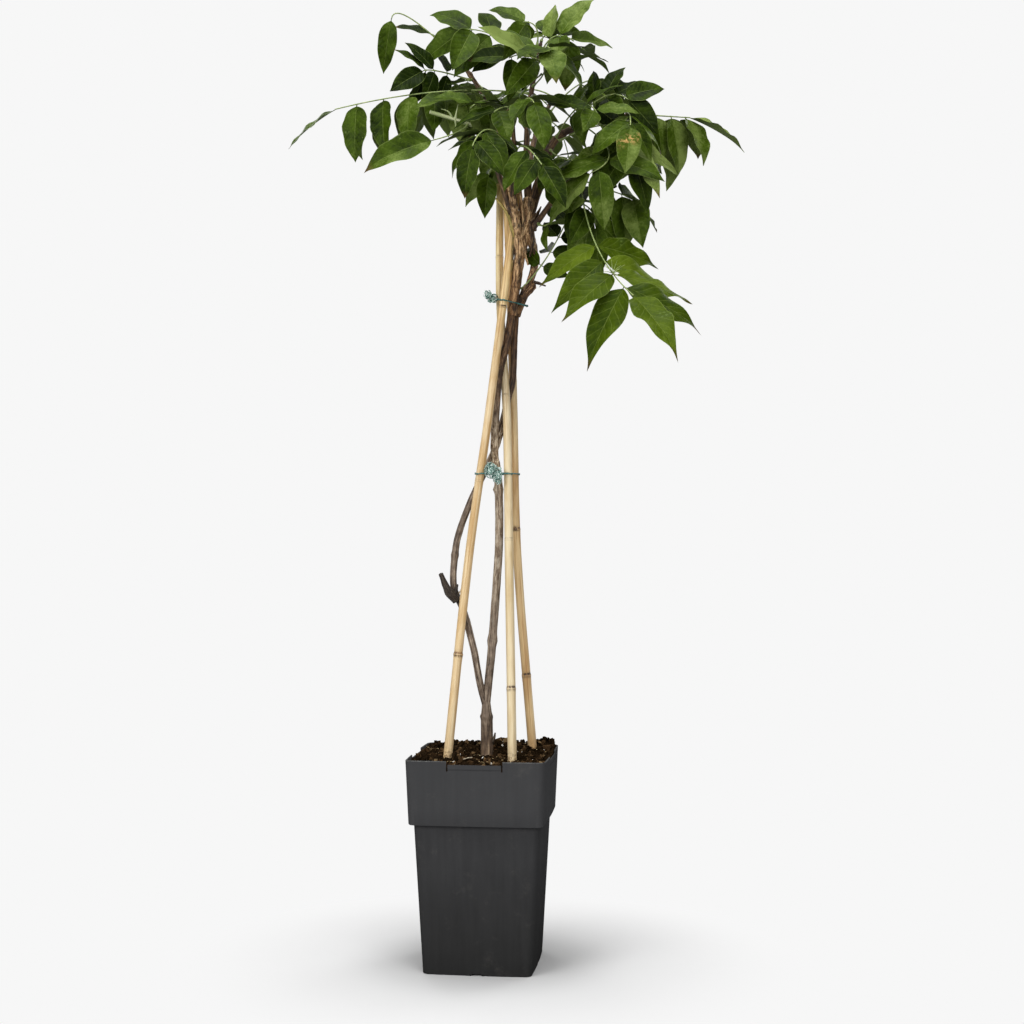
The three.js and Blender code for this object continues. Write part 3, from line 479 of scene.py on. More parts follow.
def bark_look():
    look = Look("bark")
    up = look.axis(2)
    fibres = look.streaks(520, 0.045, 4, 0.65)
    flakes = look.streaks(380, 0.2, 6, 0.8, 0.5)
    streak = look.plus(look.times(fibres, 0.7), look.times(look.noise(90, 4, 0.6), 0.3))
    look.colour = look.ramp(streak, (0.39, (0.024, 0.015, 0.010)), (0.47, (0.105, 0.073, 0.050)),
                            (0.55, (0.200, 0.150, 0.107)), (0.65, (0.43, 0.35, 0.265)))
    for mark, stops in (
        ("shaggy", ((0.41, (0.010, 0.005, 0.002)), (0.47, (0.120, 0.062, 0.026)),
                    (0.53, (0.50, 0.35, 0.20)), (0.60, (1.0, 0.90, 0.70)))),
        ("tan", ((0.39, (0.05, 0.024, 0.010)), (0.47, (0.34, 0.23, 0.13)), (0.57, (1.0, 0.88, 0.68)))),
    ):
        look.paint(look.ramp(flakes, *stops), look.mark(mark))
    look.paint((0.007, 0.005, 0.004), look.mark("dark"), 0.92)
    look.paint(look.ramp(flakes, (0.36, (0.20, 0.22, 0.06)), (0.6, (0.62, 0.60, 0.27))), look.mark("pale"))
    look.tint((0.90, 0.70, 0.49), look.span(up, 0.68, 0.84))
    look.tint((0.82, 0.72, 0.60), look.span(up, 0.27, 0.34, 1.0, 0.0))
    # Painted shade: the stems darken in a band just below the leafy head
    look.tint((0.60, 0.52, 0.46), look.span(up, 0.68, 0.76), look.span(up, 0.87, 0.93, 1.0, 0.0))
    # Painted shade: dark patches on the stems below the head stand in for their shaded sides
    shade_patches = look.span(look.noise(95, 4, 0.65, stretch=(1, 1, 0.45)), 0.50, 0.62)
    look.paint((0.030, 0.017, 0.010), shade_patches, look.span(up, 0.66, 0.80, 0.0, 0.85))
    height = look.plus(look.times(fibres, 0.5), look.times(flakes, 0.7))
    look.bump(look.times(height, look.plus(look.mark("shaggy"), 0.22, clamp=True)), 0.0020)
    return look.finish(look.span(fibres, 0.3, 0.7, 0.5, 0.75), 0.35)


def green_wood_look():
    look = Look("green_wood")
    ribs = look.streaks(900, 0.03, 3)
    look.colour = look.ramp(ribs, (0.35, (0.10, 0.16, 0.04)), (0.5, (0.30, 0.37, 0.14)),
                            (0.65, (0.62, 0.64, 0.40)))
    look.paint((0.66, 0.66, 0.46), look.mark("cut"))
    look.bump(ribs, 0.0008, 0.7)
    return look.finish(0.5)


def tape_look():
    look = Look("tie_tape")
    folds = look.noise(520, 5, 0.75, 0.8)
    # The palest stops are painted highlights on the crests of the film's folds
    look.colour = look.ramp(folds, (0.38, (0.012, 0.070, 0.060)), (0.47, (0.09, 0.23, 0.19)),
                            (0.54, (0.46, 0.64, 0.56)), (0.61, (0.95, 0.99, 0.96)))
    band = look.ramp(folds, (0.38, (0.018, 0.085, 0.075)), (0.62, (0.075, 0.22, 0.20)))
    look.paint(band, look.mark("taut"))
    look.bump(folds, 0.0010, 0.8)
    return look.finish(0.22)


def leaf_look(name, deep, mid, bright, vein, under, veined):
    """A leaf: the map's X runs across the blade with the midrib at a half, and Y from base to tip"""
    look = Look(name)
    across = look.math("ABSOLUTE", look.minus(look.axis(0, "UV"), 0.5))
    along = look.axis(1, "UV")
    wobble = look.times(look.minus(look.noise(90, 2), 0.5), 0.05)
    lean = look.times(look.math("POWER", across, 0.75), 0.36)
    away = look.math("PINGPONG", look.times(look.plus(look.minus(along, lean), wobble), 8.0), 0.5)
    midrib = look.span(across, 0.003, 0.018, 1.0, 0.0)
    clouds = look.noise(42, 5, 0.62)
    patches = look.times(look.minus(clouds, 0.5), 1.3)
    flecks = look.times(look.minus(look.noise(330, 5, 0.7), 0.5), 0.7)
    # The tone mark holds each blade's own tone together with its painted shade from add_leaflet
    tone = look.plus(look.mark("tone"), look.plus(patches, flecks), clamp=True)
    look.colour = look.ramp(tone, (0.05, deep), (0.5, mid), (0.95, bright))
    look.paint(vein, look.span(away, 0.0, 0.07, 1.0, 0.0), veined)
    look.paint(vein, midrib, 0.45)
    # A pale margin along each blade's edge: partly the leaf's own edge, partly a painted highlight
    look.paint(vein, look.span(across, 0.472, 0.5), 0.6)
    look.paint(under, look.mark("under"), 0.7)
    look.paint((0.42, 0.26, 0.09), look.mark("scorch"), look.span(look.noise(150, 5, 0.75), 0.48, 0.56))
    look.paint((0.085, 0.045, 0.018), look.mark("dry"), look.span(look.plus(along, wobble), 0.84, 0.97))
    quilt = look.span(away, 0.0, 0.5)
    height = look.minus(look.times(quilt, 0.5), look.times(midrib, 0.9))
    look.bump(look.plus(height, look.times(look.noise(950, 3, 0.6), 0.15)), 0.0006, 0.7)
    return look.finish(look.span(clouds, 0.3, 0.7, 0.38, 0.56), 0.05)


def stalk_look():
    look = Look("leaf_stalk")
    mottle = look.noise(220)
    look.colour = look.ramp(mottle, (0.3, (0.10, 0.15, 0.035)), (0.55, (0.24, 0.31, 0.09)),
                            (0.75, (0.42, 0.44, 0.17)))
    look.bump(mottle, 0.0004, 0.5)
    return look.finish(0.5)


# Pot


def square_ring(half, z, corner=CORNER):
    """A rounded square whose sides bulge a little, as points in metres"""
    ring, steps = [], 7
    for side in range(4):
        start = side * pi / 2
        turn = np.array(((cos(start), -sin(start)), (sin(start), cos(start))))
        for i in range(steps + 1):
            angle = i * pi / 2 / steps
            x, y = (half - corner) + corner * cos(angle), (half - corner) + corner * sin(angle)
            ring.append((*(turn @ (x, y)), z))
        for share in np.linspace(1, -1, 12)[1:-1]:
            x, y = share * (half - corner), half + BULGE * (1 - share ** 2)
            ring.append((*(turn @ (x, y)), z))
    return MM * np.array(ring)


def body_half_at(z):
    return lerp(BASE_HALF, BODY_HALF, z / COLLAR_LOW)


def collar_half_at(z):
    return lerp(COLLAR_HALF, RIM_HALF, (z - COLLAR_LOW) / (POT_HIGH - COLLAR_LOW))


def box_cutter(sizes, centre, turn):
    bpy.ops.mesh.primitive_cube_add(size=1)
    cutter = bpy.context.object
    cutter.scale = [size * MM for size in sizes]
    cutter.location = [place * MM for place in centre]
    bpy.context.view_layer.update()
    cutter.data.transform(cutter.matrix_world)
    cutter.matrix_world = np.eye(4)
    cutter.rotation_euler.z = turn
    return cutter


def cut(piece, cutter):
    modifier = piece.modifiers.new("cut", "BOOLEAN")
    modifier.operation = "DIFFERENCE"
    modifier.solver = "EXACT"
    modifier.object = cutter
    with bpy.context.temp_override(object=piece, active_object=piece):
        bpy.ops.object.modifier_apply(modifier=modifier.name)
    bpy.data.objects.remove(cutter)


def side_cutters(turn):
    """What is cut from one side of the rim and of the base"""
    half_slot = (TAB["width"] - TAB["slot_width"]) / 2
    yield box_cutter((TAB["width"], TAB["reach"], TAB["drop"] * 2), (0, -RIM_HALF, POT_HIGH), turn)
    for end in (-1, 1):
        sizes = (TAB["slot_width"], TAB["reach"], TAB["slot_drop"] * 2)
        yield box_cutter(sizes, (end * half_slot, -RIM_HALF, POT_HIGH), turn)
    up = POT_HIGH - GROOVE["drop"]
    face = collar_half_at(up) + BULGE - GROOVE["deep"]
    sizes = (TAB["width"] - 3 * TAB["slot_width"], TAB["reach"], GROOVE["high"])
    yield box_cutter(sizes, (0, -face - TAB["reach"] / 2, up), turn)
    notch_in, notch_out = DRAIN["offset"] - DRAIN["radius"] / 2, BASE_HALF + 2 * BULGE
    sizes = (DRAIN["notch_width"], notch_out - notch_in, DRAIN["notch_high"] * 2)
    yield box_cutter(sizes, (0, -(notch_out + notch_in) / 2, 0), turn)
    bpy.ops.mesh.primitive_cylinder_add(vertices=24, radius=DRAIN["radius"] * MM, depth=0.03)
    hole = bpy.context.object
    hole.location = (DRAIN["offset"] * MM * sin(turn), -DRAIN["offset"] * MM * cos(turn), 0)
    yield hole


def make_pot(material):
    shelf = COLLAR_LOW + SHELF_THICK
    levels = [(BASE_HALF - 1, 0), (BASE_HALF - 0.3, 0.4), (BASE_HALF, 1.5)]
    levels += [(body_half_at(z), z) for z in (30, 70, 110, 150, 185)]
    levels += [(BODY_HALF, COLLAR_LOW), (COLLAR_HALF - 0.7, COLLAR_LOW), (COLLAR_HALF, COLLAR_LOW + 0.8)]
    levels += [(collar_half_at(z), z) for z in (215, 235, 255, 268)]
    levels += [(RIM_HALF, POT_HIGH - 0.6), (RIM_HALF - 0.5, POT_HIGH)]
    inside = [(RIM_HALF - WALL + 0.5, POT_HIGH), (RIM_HALF - WALL, POT_HIGH - 0.6)]
    inside += [(collar_half_at(230) - WALL, 230), (COLLAR_HALF - WALL, shelf), (BODY_HALF - WALL, shelf)]
    inside += [(body_half_at(FLOOR_THICK) - WALL, FLOOR_THICK)]
    rings = [square_ring(*level) for level in levels]
    rings += [square_ring(*level, CORNER - WALL) for level in inside]
    shape = Shape()
    shape.grid(np.array(rings))
    around = range(len(rings[0]))
    shape.cap([*around][::-1])
    shape.cap([i + (len(rings) - 1) * len(around) for i in around])
    pot = shape.build("square_pot", [material])
    for side in range(4):
        for cutter in side_cutters(side * pi / 2):
            cut(pot, cutter)
    bevel = pot.modifiers.new("edges", "BEVEL")
    bevel.width = 0.35 * MM
    bevel.segments = 2
    bevel.limit_method = "ANGLE"
    bevel.angle_limit = radians(40)
    bevel.harden_normals = True
    place_piece(pot, "pot_plastic", "pot")


# Soil


def soil_up(x, y):
    """Height of the soil in millimetres, before its crumbs"""
    slope = SOIL_RISE * (y + RIM_HALF) / (2 * RIM_HALF)
    mounds = sum(high * exp(-((x - mx) ** 2 + (y - my) ** 2) / reach ** 2)
                 for mx, my, high, reach in SOIL_MOUNDS)
    return SOIL_FRONT + slope + mounds


def soil_surface(x, y):
    """A point of the rough surface in metres, from a place in millimetres"""
    point = Vector((x, y, 0)) * MM
    lumps = sum(high * rough(point, size, seed) for high, size, seed in SOIL_LUMPS)
    return MM * np.array((x, y, soil_up(x, y) + lumps))


def crumb_points(rng, size, flat):
    """A small angular lump: a cube's corners pushed about at random"""
    corners = np.array([(x, y, z) for x in (-1, 1) for y in (-1, 1) for z in (-1, 1)], float)
    corners *= 0.5 + 0.5 * rng.random((8, 1))
    corners *= (1, 0.5 + 0.5 * rng.random(), flat)
    angles = rng.random(3) * pi
    for axis, angle in enumerate(angles):
        a, b = [k for k in range(3) if k != axis]
        turned = corners.copy()
        turned[:, a] = corners[:, a] * cos(angle) - corners[:, b] * sin(angle)
        turned[:, b] = corners[:, a] * sin(angle) + corners[:, b] * cos(angle)
        corners = turned
    return corners * size * MM


CUBE_FACES = ((0, 1, 3, 2), (4, 6, 7, 5), (0, 4, 5, 1), (2, 3, 7, 6), (0, 2, 6, 4), (1, 5, 7, 3))


def add_crumbs(shape, rng, count, sizes, flat, tones, sink):
    reach = collar_half_at(SOIL_FRONT) - WALL - 2
    for _ in range(count):
        x, y = (rng.random(2) * 2 - 1) * reach
        size = lerp(*sizes, rng.random() ** 2.2)
        points = soil_surface(x, y) + crumb_points(rng, size, flat) + (0, 0, size * MM * (0.5 - sink))
        points[:, :2] = np.clip(points[:, :2], -reach * MM, reach * MM)
        shape.add(points, CUBE_FACES, tone=lerp(*tones, rng.random()))


def add_straw(shape, ends, radius, tone):
    steps, sides = np.linspace(0, 1, 7), 4
    radii = np.full((len(steps), sides), radius * MM)
    shape.grid(rings_along(Path(ends, as_seen=False), radii, steps), tone=tone)


def add_straws(shape, rng):
    """Thin pale fibres that lie on the soil"""
    for _ in range(STRAWS["count"]):
        x, y = (rng.random(2) * 2 - 1) * STRAWS["reach"]
        angle, length = rng.random() * pi, lerp(6, 20, rng.random())
        right, back = cos(angle), sin(angle)
        ends = [soil_surface(x + k * length * right + 2 * sin(5 * k), y + k * length * back)
                for k in (0, 0.33, 0.66, 1)]
        for k, end in enumerate(ends):
            end[2] += MM * (0.9 + 1.2 * (k % 2))
        add_straw(shape, ends, STRAWS["radius"], lerp(0.8, 0.88, rng.random()))


def make_soil(material):
    rng = np.random.default_rng(17)
    shape = Shape(["tone"])
    inward = WALL + GAP
    inner = CORNER - WALL - GAP
    shelf = COLLAR_LOW + SHELF_THICK + GAP
    outline = collar_half_at(SOIL_FRONT)
    rows = [square_ring(half - inward, z, inner) for half, z in (
        (body_half_at(FLOOR_THICK), FLOOR_THICK + GAP), (BODY_HALF, shelf), (COLLAR_HALF, shelf),
        (outline, SOIL_FRONT - 5),
    )]
    edge = square_ring(outline - inward, 0, inner) / MM
    for share in np.linspace(1, 0.02, 60):
        row = np.array([soil_surface(x * share, y * share) for x, y, _ in edge])
        if share == 1:
            row[:, 2] = np.minimum(row[:, 2], (POT_HIGH - 1) * MM)
        rows.append(row)
    shape.tube(np.array(rows))
    for kind in CRUMBS:
        add_crumbs(shape, rng, *kind)
    add_straws(shape, rng)
    add_straw(shape, [seen(*point) for point in TWIG["points"]], TWIG["radius"], 0.9)
    place_piece(shape.build("potting_mix", [material], smooth=False), "soil", "soil")


# Canes


# Each ring of a cane has its height and how marked it is; a spot is a scar: its place and its size
CANES = {
    "cane_left": {
        "path": [(-66, -26, 90), (-47, -21, 273), (-20, -14, 530),
                 (6, -15, 716), (26, -16, 872), (45, -7, 1028)],
        "rings": ((406, 1.7), (633, 0.25), (860, 0.9)),
        "spots": (),
        "colours": ((0.62, 0.42, 0.20), (0.79, 0.62, 0.37), (0.46, 0.26, 0.09)),
    },
    "cane_front": {
        "path": [(38, -70, 100), (37, -52, 277), (33, -28, 530),
                 (30, -3, 716), (21, 13, 873), (21, 25, 1028)],
        "rings": ((364, 0.9), (556, 0.2), (745, 0.25), (930, 0.25)),
        "spots": (),
        "colours": ((0.63, 0.48, 0.26), (0.79, 0.67, 0.44), (0.48, 0.32, 0.15)),
    },
    "cane_right": {
        "path": [(72, 40, 150), (64, 35, 277), (44, 27, 530),
                 (39, 20, 716), (35, 15, 873), (29, 2, 1028)],
        "rings": ((374, 1.0), (569, 0.8), (766, 0.25), (945, 0.25)),
        "spots": (((41, 20, 570), 2.2), ((42, 20, 364), 1.6)),
        "colours": ((0.54, 0.34, 0.15), (0.74, 0.55, 0.29), (0.34, 0.17, 0.06)),
    },
}


def cane_radius_at(t):
    return lerp(*CANE_RADIUS, t)


def make_cane(name, entry, material, seed):
    path, sides = Path(entry["path"]), 20
    length = path.length()
    nodes = np.array([path.step_at_height(up * MM) for up, _ in entry["rings"]])
    marked = np.array([strength for _, strength in entry["rings"]])
    fine = [node + out * MM / length for node in nodes for out in RING_STEPS]
    steps = np.array(sorted([*np.linspace(0, 1, 110), *fine]))
    away = (steps[:, None] - nodes) * length / MM
    ridge = (bumps_at(away, RING_RIDGES) * (0.35 + 0.65 * marked)).sum(1)
    radii = np.array([
        [(cane_radius_at(t) + ridge[i]) * MM
         + 0.16 * MM * rough((cos(k * 0.31), sin(k * 0.31), t * 8), 400, seed)
         for k in range(sides)] for i, t in enumerate(steps)
    ])
    rings = rings_along(path, radii, steps)
    dark = by_row((bumps_at(away, RING_DARKS) * marked).sum(1))
    for place, size in entry["spots"]:
        dark = dark + np.exp(-(np.linalg.norm(rings - seen(*place), axis=2) / (size * MM)) ** 2) * 3
    shape = Shape(["dark", "cut"])
    mapped = tube_map(steps, length, cane_radius_at(0.5) * MM, sides)
    shape.grid(rings, mapped + seed, dark=np.clip(dark, 0, 2))
    top, down = rings[-1], path.tangent(1) * HOLLOW["deep"] * MM
    centre = top.mean(0)
    hollow = centre + (top - centre) * HOLLOW["share"]
    shape.grid(np.array([top, hollow, hollow - down]),
               cut=by_row([0.6, 1.0, 0.3]), dark=by_row([0.1, 0.0, 1.0]))
    shape.fan(hollow - down, centre - down, dark=1.0)
    shape.fan(rings[0], flip=True)
    place_piece(shape.build(name + "_bamboo", [material]), "bamboo", name)


# Stems


LIMBS = {
    "trunk": ([(5, -16, 205), (4, -16, 272), (4, -17, 310), (3, -16, 352)], (8.5, 7.5)),
    "stem_right": ([
        (3, -16, 340), (7, -16, 379), (10, -15, 409), (17, -10, 503), (20, -8, 560), (19, -5, 630),
        (14, -2, 668), (15, -1, 720), (20, -6, 775), (30, -6, 814), (38, -6, 862),
    ], (5.4, 5.4)),
    "stem_left": ([
        (2, -16, 340), (-6, -18, 373), (-13, -16, 412), (-27, 1, 462), (-40, 4, 494), (-38, 6, 539),
        (-32, 8, 568), (-16, 8, 610), (5, 9, 654), (19, 11, 688), (30, 12, 735), (37, 6, 762),
        (39, 3, 785), (40, 1, 820), (43, 2, 866),
    ], (4.6, 4.2)),
    "head": ([(37, -6, 850), (44, -9, 905), (52, -12, 955), (60, -10, 1004)], (6, 8.5)),
    "rear_strand": ([(43, 2, 850), (58, 2, 888), (67, 4, 921), (63, 8, 950), (56, 14, 990)], (4.2, 5.5)),
    "pruned_stub": ([(-57, -7, 511), (-47, -4, 489), (-36, 1, 476)], (5, 5.6)),
    "knob": ([(43, 2, 862), (50, 0, 874), (58, -3, 884), (66, -5, 892)], (5, 6.2)),
    "front_strand": ([(39, -7, 872), (45, -19, 925), (42, -22, 975), (36, -21, 1012)], (4.5, 5)),
    "branch_a": ([(42, -22, 965), (26, -15, 1014), (13, -14, 1053), (-2, -20, 1085)], (4.5, 3)),
    "branch_b": ([
        (58, 13, 972), (41, 22, 1020), (31, 28, 1055), (17, 34, 1109), (-6, 40, 1157), (-30, 40, 1192),
    ], (4.8, 2.6)),
    "branch_c": ([(59, -8, 985), (56, -2, 1062), (59, 4, 1122), (67, 2, 1171), (75, -4, 1209)], (4.8, 2.4)),
    "branch_d": ([
        (58, -10, 975), (78, -4, 1042), (88, -2, 1073), (108, -6, 1091), (149, -10, 1105), (197, -10, 1113),
    ], (7, 2.8)),
    "branch_e": ([(58, 13, 978), (61, 55, 1066), (75, 95, 1122), (94, 130, 1167)], (4.6, 2.6)),
    "branch_f": ([(37, -20, 1000), (40, -50, 1045), (38, -85, 1082)], (4.2, 2.6)),
    "branch_g": ([
        (56, -12, 955), (68, -17, 968), (81, -32, 984), (103, -58, 1010), (131, -80, 1024),
    ], (4.6, 2.6)),
    "young_shoot": ([
        (-2.2, -20.1, 1085.4), (-5.1, -21.3, 1091.6), (-22, -29, 1097), (-69, -46, 1108),
    ], (2.6, 2.4)),
}
# How loose and how pale brown the bark of a limb is, and its joints: their heights and sizes in millimetres
SHAGGY = {"head": 0.8, "rear_strand": 0.75, "front_strand": 0.75, "knob": 0.6, "pruned_stub": 0.5}
TAN = {"trunk": 0.1, "stem_right": 0.3, "head": 0.7, "rear_strand": 0.5, "front_strand": 0.8, "knob": 0.3}
JOINTS = {
    "trunk": ((325, 1.0),),
    "stem_right": ((424, 1.5), (621, 1.0)),
    "stem_left": ((535, 0.8), (448, 0.4)),
    "pruned_stub": (),
}
# Where shreds come off the twining stems, behind the lower tie and at the head: how loose, height, reach
LOOSE = {
    "stem_right": ((0.9, 668, 26), (0.35, 860, 22)),
    "stem_left": ((0.8, 690, 30), (0.5, 866, 30)),
}
# Lumps of the bark: how high on smooth bark and how much more on loose bark, their sizes and their seeds
BARK_LUMPS = ((0.22, 0.4, 16, 0), (0.10, 0.35, 5, 9))
# A joint: how far it swells along the limb, and the height and reach of the bud above it
JOINT = {"reach": 3.5, "bud": 1.6, "bud_reach": 2.4}
# The trunk narrows and the tan bark starts above a height, over a stretch; stem_left is dark about a height
NARROWS = (322, 30)
TAN_STARTS = (395, 120)
DARK_AT = (478, 14)
LIMB_PATHS = {name: Path(points) for name, (points, _) in LIMBS.items()}


def limb_radius_at(name, t):
    return lerp(*LIMBS[name][1], t)


def bark_at(name, up):
    """How loose the bark of a limb is at a height"""
    return SHAGGY.get(name, 0.0) + bumps_at(up, LOOSE.get(name, ()))


def share_above(up, start, stretch):
    return min(1.0, max(0.0, (up - start) / stretch))


def add_limb(shape, name, seed):
    """A limb with lumps, joints and two closed ends"""
    path, sides = LIMB_PATHS[name], 16
    length = path.length()
    steps = np.linspace(0, 1, max(10, int(length / (2.5 * MM))) + 1)
    rng = random.Random(seed)
    if name in JOINTS:
        joints = [(path.step_at_height(up * MM) * length / MM, size) for up, size in JOINTS[name]]
    else:
        joints = [(out, 0.9) for out in np.arange(rng.uniform(15, 35), length / MM - 8, rng.uniform(45, 70))]
    radii = np.empty((len(steps), sides))
    shags, darks, tans = [], [], []
    for i, t in enumerate(steps):
        centre, out = path.at(t), t * length / MM
        up = centre[2] / MM
        shaggy = bark_at(name, up)
        swell = bumps_at(out, [(size, joint, JOINT["reach"]) for joint, size in joints])
        taper = min(1.0, 0.55 + (1 - t) * length / MM / 3)
        if name == "trunk":
            taper = lerp(1.0, 0.6, share_above(up, *NARROWS))
        if name == "pruned_stub":
            taper = lerp(0.62, 1.12, min(1.0, out / 24) ** 1.3)
        for k in range(sides):
            angle = k * 2 * pi / sides
            spot = centre + 4 * MM * np.array((cos(angle), sin(angle), 0))
            bud = sum(JOINT["bud"] * size * bump_at(out, joint + 1, JOINT["bud_reach"])
                      * max(0, cos(angle - joint * 2.4)) ** 4 for joint, size in joints)
            lumps = sum((smooth + loose * shaggy) * rough(spot, size, seed + shift)
                        for smooth, loose, size, shift in BARK_LUMPS)
            strands = 0.9 * rough(spot, 7, seed + 4) + 0.5 * cos(angle * 5 + out * 0.12 + seed)
            radius = limb_radius_at(name, t) + swell + bud + lumps + shaggy * strands
            radii[i, k] = max(0.6, radius * taper) * MM
        shags.append(shaggy)
        tans.append(TAN.get(name, 0.0) * share_above(up, *TAN_STARTS))
        dark = 0.9 * bump_at(up, *DARK_AT) if name == "stem_left" else 0.0
        darks.append(0.95 if name == "pruned_stub" else dark)
    rings = rings_along(path, radii, steps)
    shape.grid(rings, tube_map(steps, length, limb_radius_at(name, 0.5) * MM, sides) + seed,
               shaggy=by_row(shags), dark=by_row(darks), tan=by_row(tans))
    for end, way in ((-1, 1), (0, -1)):
        tip = rings[end].mean(0) + path.tangent(-end) * way * 1.2 * MM
        shape.fan(rings[end], tip, flip=way < 0, shaggy=shags[end], dark=darks[end], tan=tans[end])


def add_strand(shape, points, radii, seed, **marks):
    """A thin strand of wood through points; radii has its radius in millimetres at even steps along it"""
    path, sides = Path(points), 8
    steps = np.linspace(0, 1, 10 * (len(points) - 1) + 1)
    middle = np.interp(steps, np.linspace(0, 1, len(radii)), radii)
    uneven = np.array([[0.3 * rough((cos(k), sin(k), t * 9), 300, seed) for k in range(sides)]
                       for t in steps])
    rings = rings_along(path, np.maximum(middle[:, None] * (1 + uneven), 0.25) * MM, steps)
    shape.tube(rings, tube_map(steps, path.length(), 2 * MM, sides) + seed, **marks)


# Thin parts of the bare wood: points, radii, then how loose, dark, pale green or tan each one is
STRANDS = (
    ([(16, -14, 1002), (25, -19, 990), (33, -23, 976), (37, -23, 962), (39, -22, 950)],
     (1.5, 1.7, 2.4, 3.2, 1.0), dict(pale=0.95)),
    ([(39, -20, 955), (38, -19, 930), (36, -17, 905)], (1.2, 1.6, 0.8), dict(shaggy=0.5, pale=0.5)),
    ([(44, -14, 985), (54, -15, 965), (62, -12, 942), (70, -8, 925), (65, -5, 912), (58, -3, 896)],
     (2.4, 3.2, 3.0, 2.6, 3.0, 2.2), dict(shaggy=0.8, tan=0.55)),
    ([(33, -20, 1015), (38, -24, 985), (46, -23, 960), (52, -20, 935), (58, -14, 915)],
     (1.6, 2.2, 2.4, 2.0, 1.4), dict(shaggy=0.7, tan=0.9)),
    ([(28, -16, 1010), (34, -22, 980), (41, -25, 958), (47, -22, 932)],
     (1.4, 1.8, 2.0, 1.2), dict(shaggy=0.8, tan=0.4)),
    ([(46, -20, 1020), (50, -20, 990), (51, -20, 965), (48, -20, 940)],
     (1.6, 1.8, 1.8, 1.0), dict(shaggy=0.8, tan=0.9)),
    ([(40, -18, 960), (43, -17, 930), (44, -15, 902), (43, -13, 880)], (1.2, 1.5, 1.2, 0.7), dict(dark=0.9)),
    ([(48, -16, 960), (52, -15, 940), (50, -14, 915)], (1.0, 1.3, 0.6), dict(dark=0.9)),
    ([(63, -5, 890), (70, -8, 893), (76, -10, 890), (81, -11, 888)], (2.4, 1.7, 1.3, 0.9), dict(dark=0.75)),
    ([(66, -5, 894), (75, -8, 891), (83, -10, 896)], (2.2, 1.3, 0.7), dict(dark=0.7)),
    ([(50, -3, 878), (54, -7, 886), (60, -9, 893)], (3.2, 3.8, 2.6), dict(shaggy=0.6, dark=0.5)),
    ([(36, -2, 980), (30, -10, 1000), (24, -12, 1018)], (1.4, 1.5, 0.9), dict(dark=0.8)),
    ([(56, -14, 958), (63, -15, 972), (70, -14, 982), (75, -12, 992)],
     (3.0, 3.4, 2.4, 0.7), dict(shaggy=0.7, dark=0.8)),
    ([(57, -16, 978), (62, -18, 960), (63, -16, 940), (60, -12, 926)],
     (1.6, 2.8, 2.6, 1.2), dict(shaggy=0.8, dark=0.7)),
    ([(-38, 1, 479), (-37, -2, 488), (-34.5, -3, 497)], (4.2, 3.0, 0.8), dict(dark=0.95)),
    ([(-34, 0, 484), (-28, -2, 492), (-25, -3, 491)], (1.0, 0.9, 0.6), dict(tan=0.8)),
    ([(9, -18, 288), (13, -19, 296), (15, -19, 304)], (2.4, 2.0, 0.9), dict(dark=0.8)),
)


def make_stems(material):
    shape = Shape(["shaggy", "dark", "pale", "tan"])
    for number, name in enumerate(LIMBS):
        if name != "young_shoot":
            add_limb(shape, name, 3 + number * 5)
    for number in range(9):
        points = []
        for share in np.linspace(0, 1, 6):
            turn = number * 0.7 + share * 3.1
            points.append((lerp(38, 54, share) + 8 * cos(turn), lerp(-7, -6, share) + 8 * sin(turn),
                           880 + number * 7 + share * 100))
        size = 1.4 + 0.5 * sin(number * 2.1)
        radii = (0.5 * size, size, size, 0.6 * size)
        add_strand(shape, points, radii, 40 + number, shaggy=0.9, tan=0.3 * (number % 3))
    for number, (points, radii, marks) in enumerate(STRANDS):
        add_strand(shape, points, radii, 60 + number, **marks)
    place_piece(shape.build("bare_stems", [material]), "bark", "stems")


def make_young_shoot(material):
    path, sides = LIMB_PATHS["young_shoot"], 14
    steps = np.linspace(0, 1, 40)
    ribs = [0.18 * cos(k * 2 * pi / sides * 7) for k in range(sides)]
    radii = np.array([[(limb_radius_at("young_shoot", t) + rib) * MM for rib in ribs] for t in steps])
    rings = rings_along(path, radii, steps)
    shape = Shape(["cut"])
    shape.grid(rings, tube_map(steps, path.length(), 2.5 * MM, sides))
    shape.fan(rings[-1], cut=1.0)
    shape.fan(rings[0], flip=True)
    add_strand(shape, [(-36, -36, 1089), (-36.5, -36, 1103), (-33, -37, 1120)], (0.8, 1.5, 0.4), 77)
    add_strand(shape, [(-40, -37, 1102), (-46, -40, 1110), (-55, -41, 1113)], (1.4, 1.0, 0.5), 78)
    place_piece(shape.build("green_shoot", [material]), "green_wood", "young_shoot")


# Ties


TIES = {
    "tie_lower": {
        "height": 642, "slope": 0.0,
        "wads": (((9, -24, 646), (9, 4.5, 10), 11), ((18, -25, 640), (7, 4, 12), 23)),
    },
    "tie_upper": {
        "height": 867, "slope": -0.17,
        "wads": (((11, 0, 873), (8, 4, 6), 37), ((5, -2, 877), (6.5, 4, 6), 41)),
    },
}


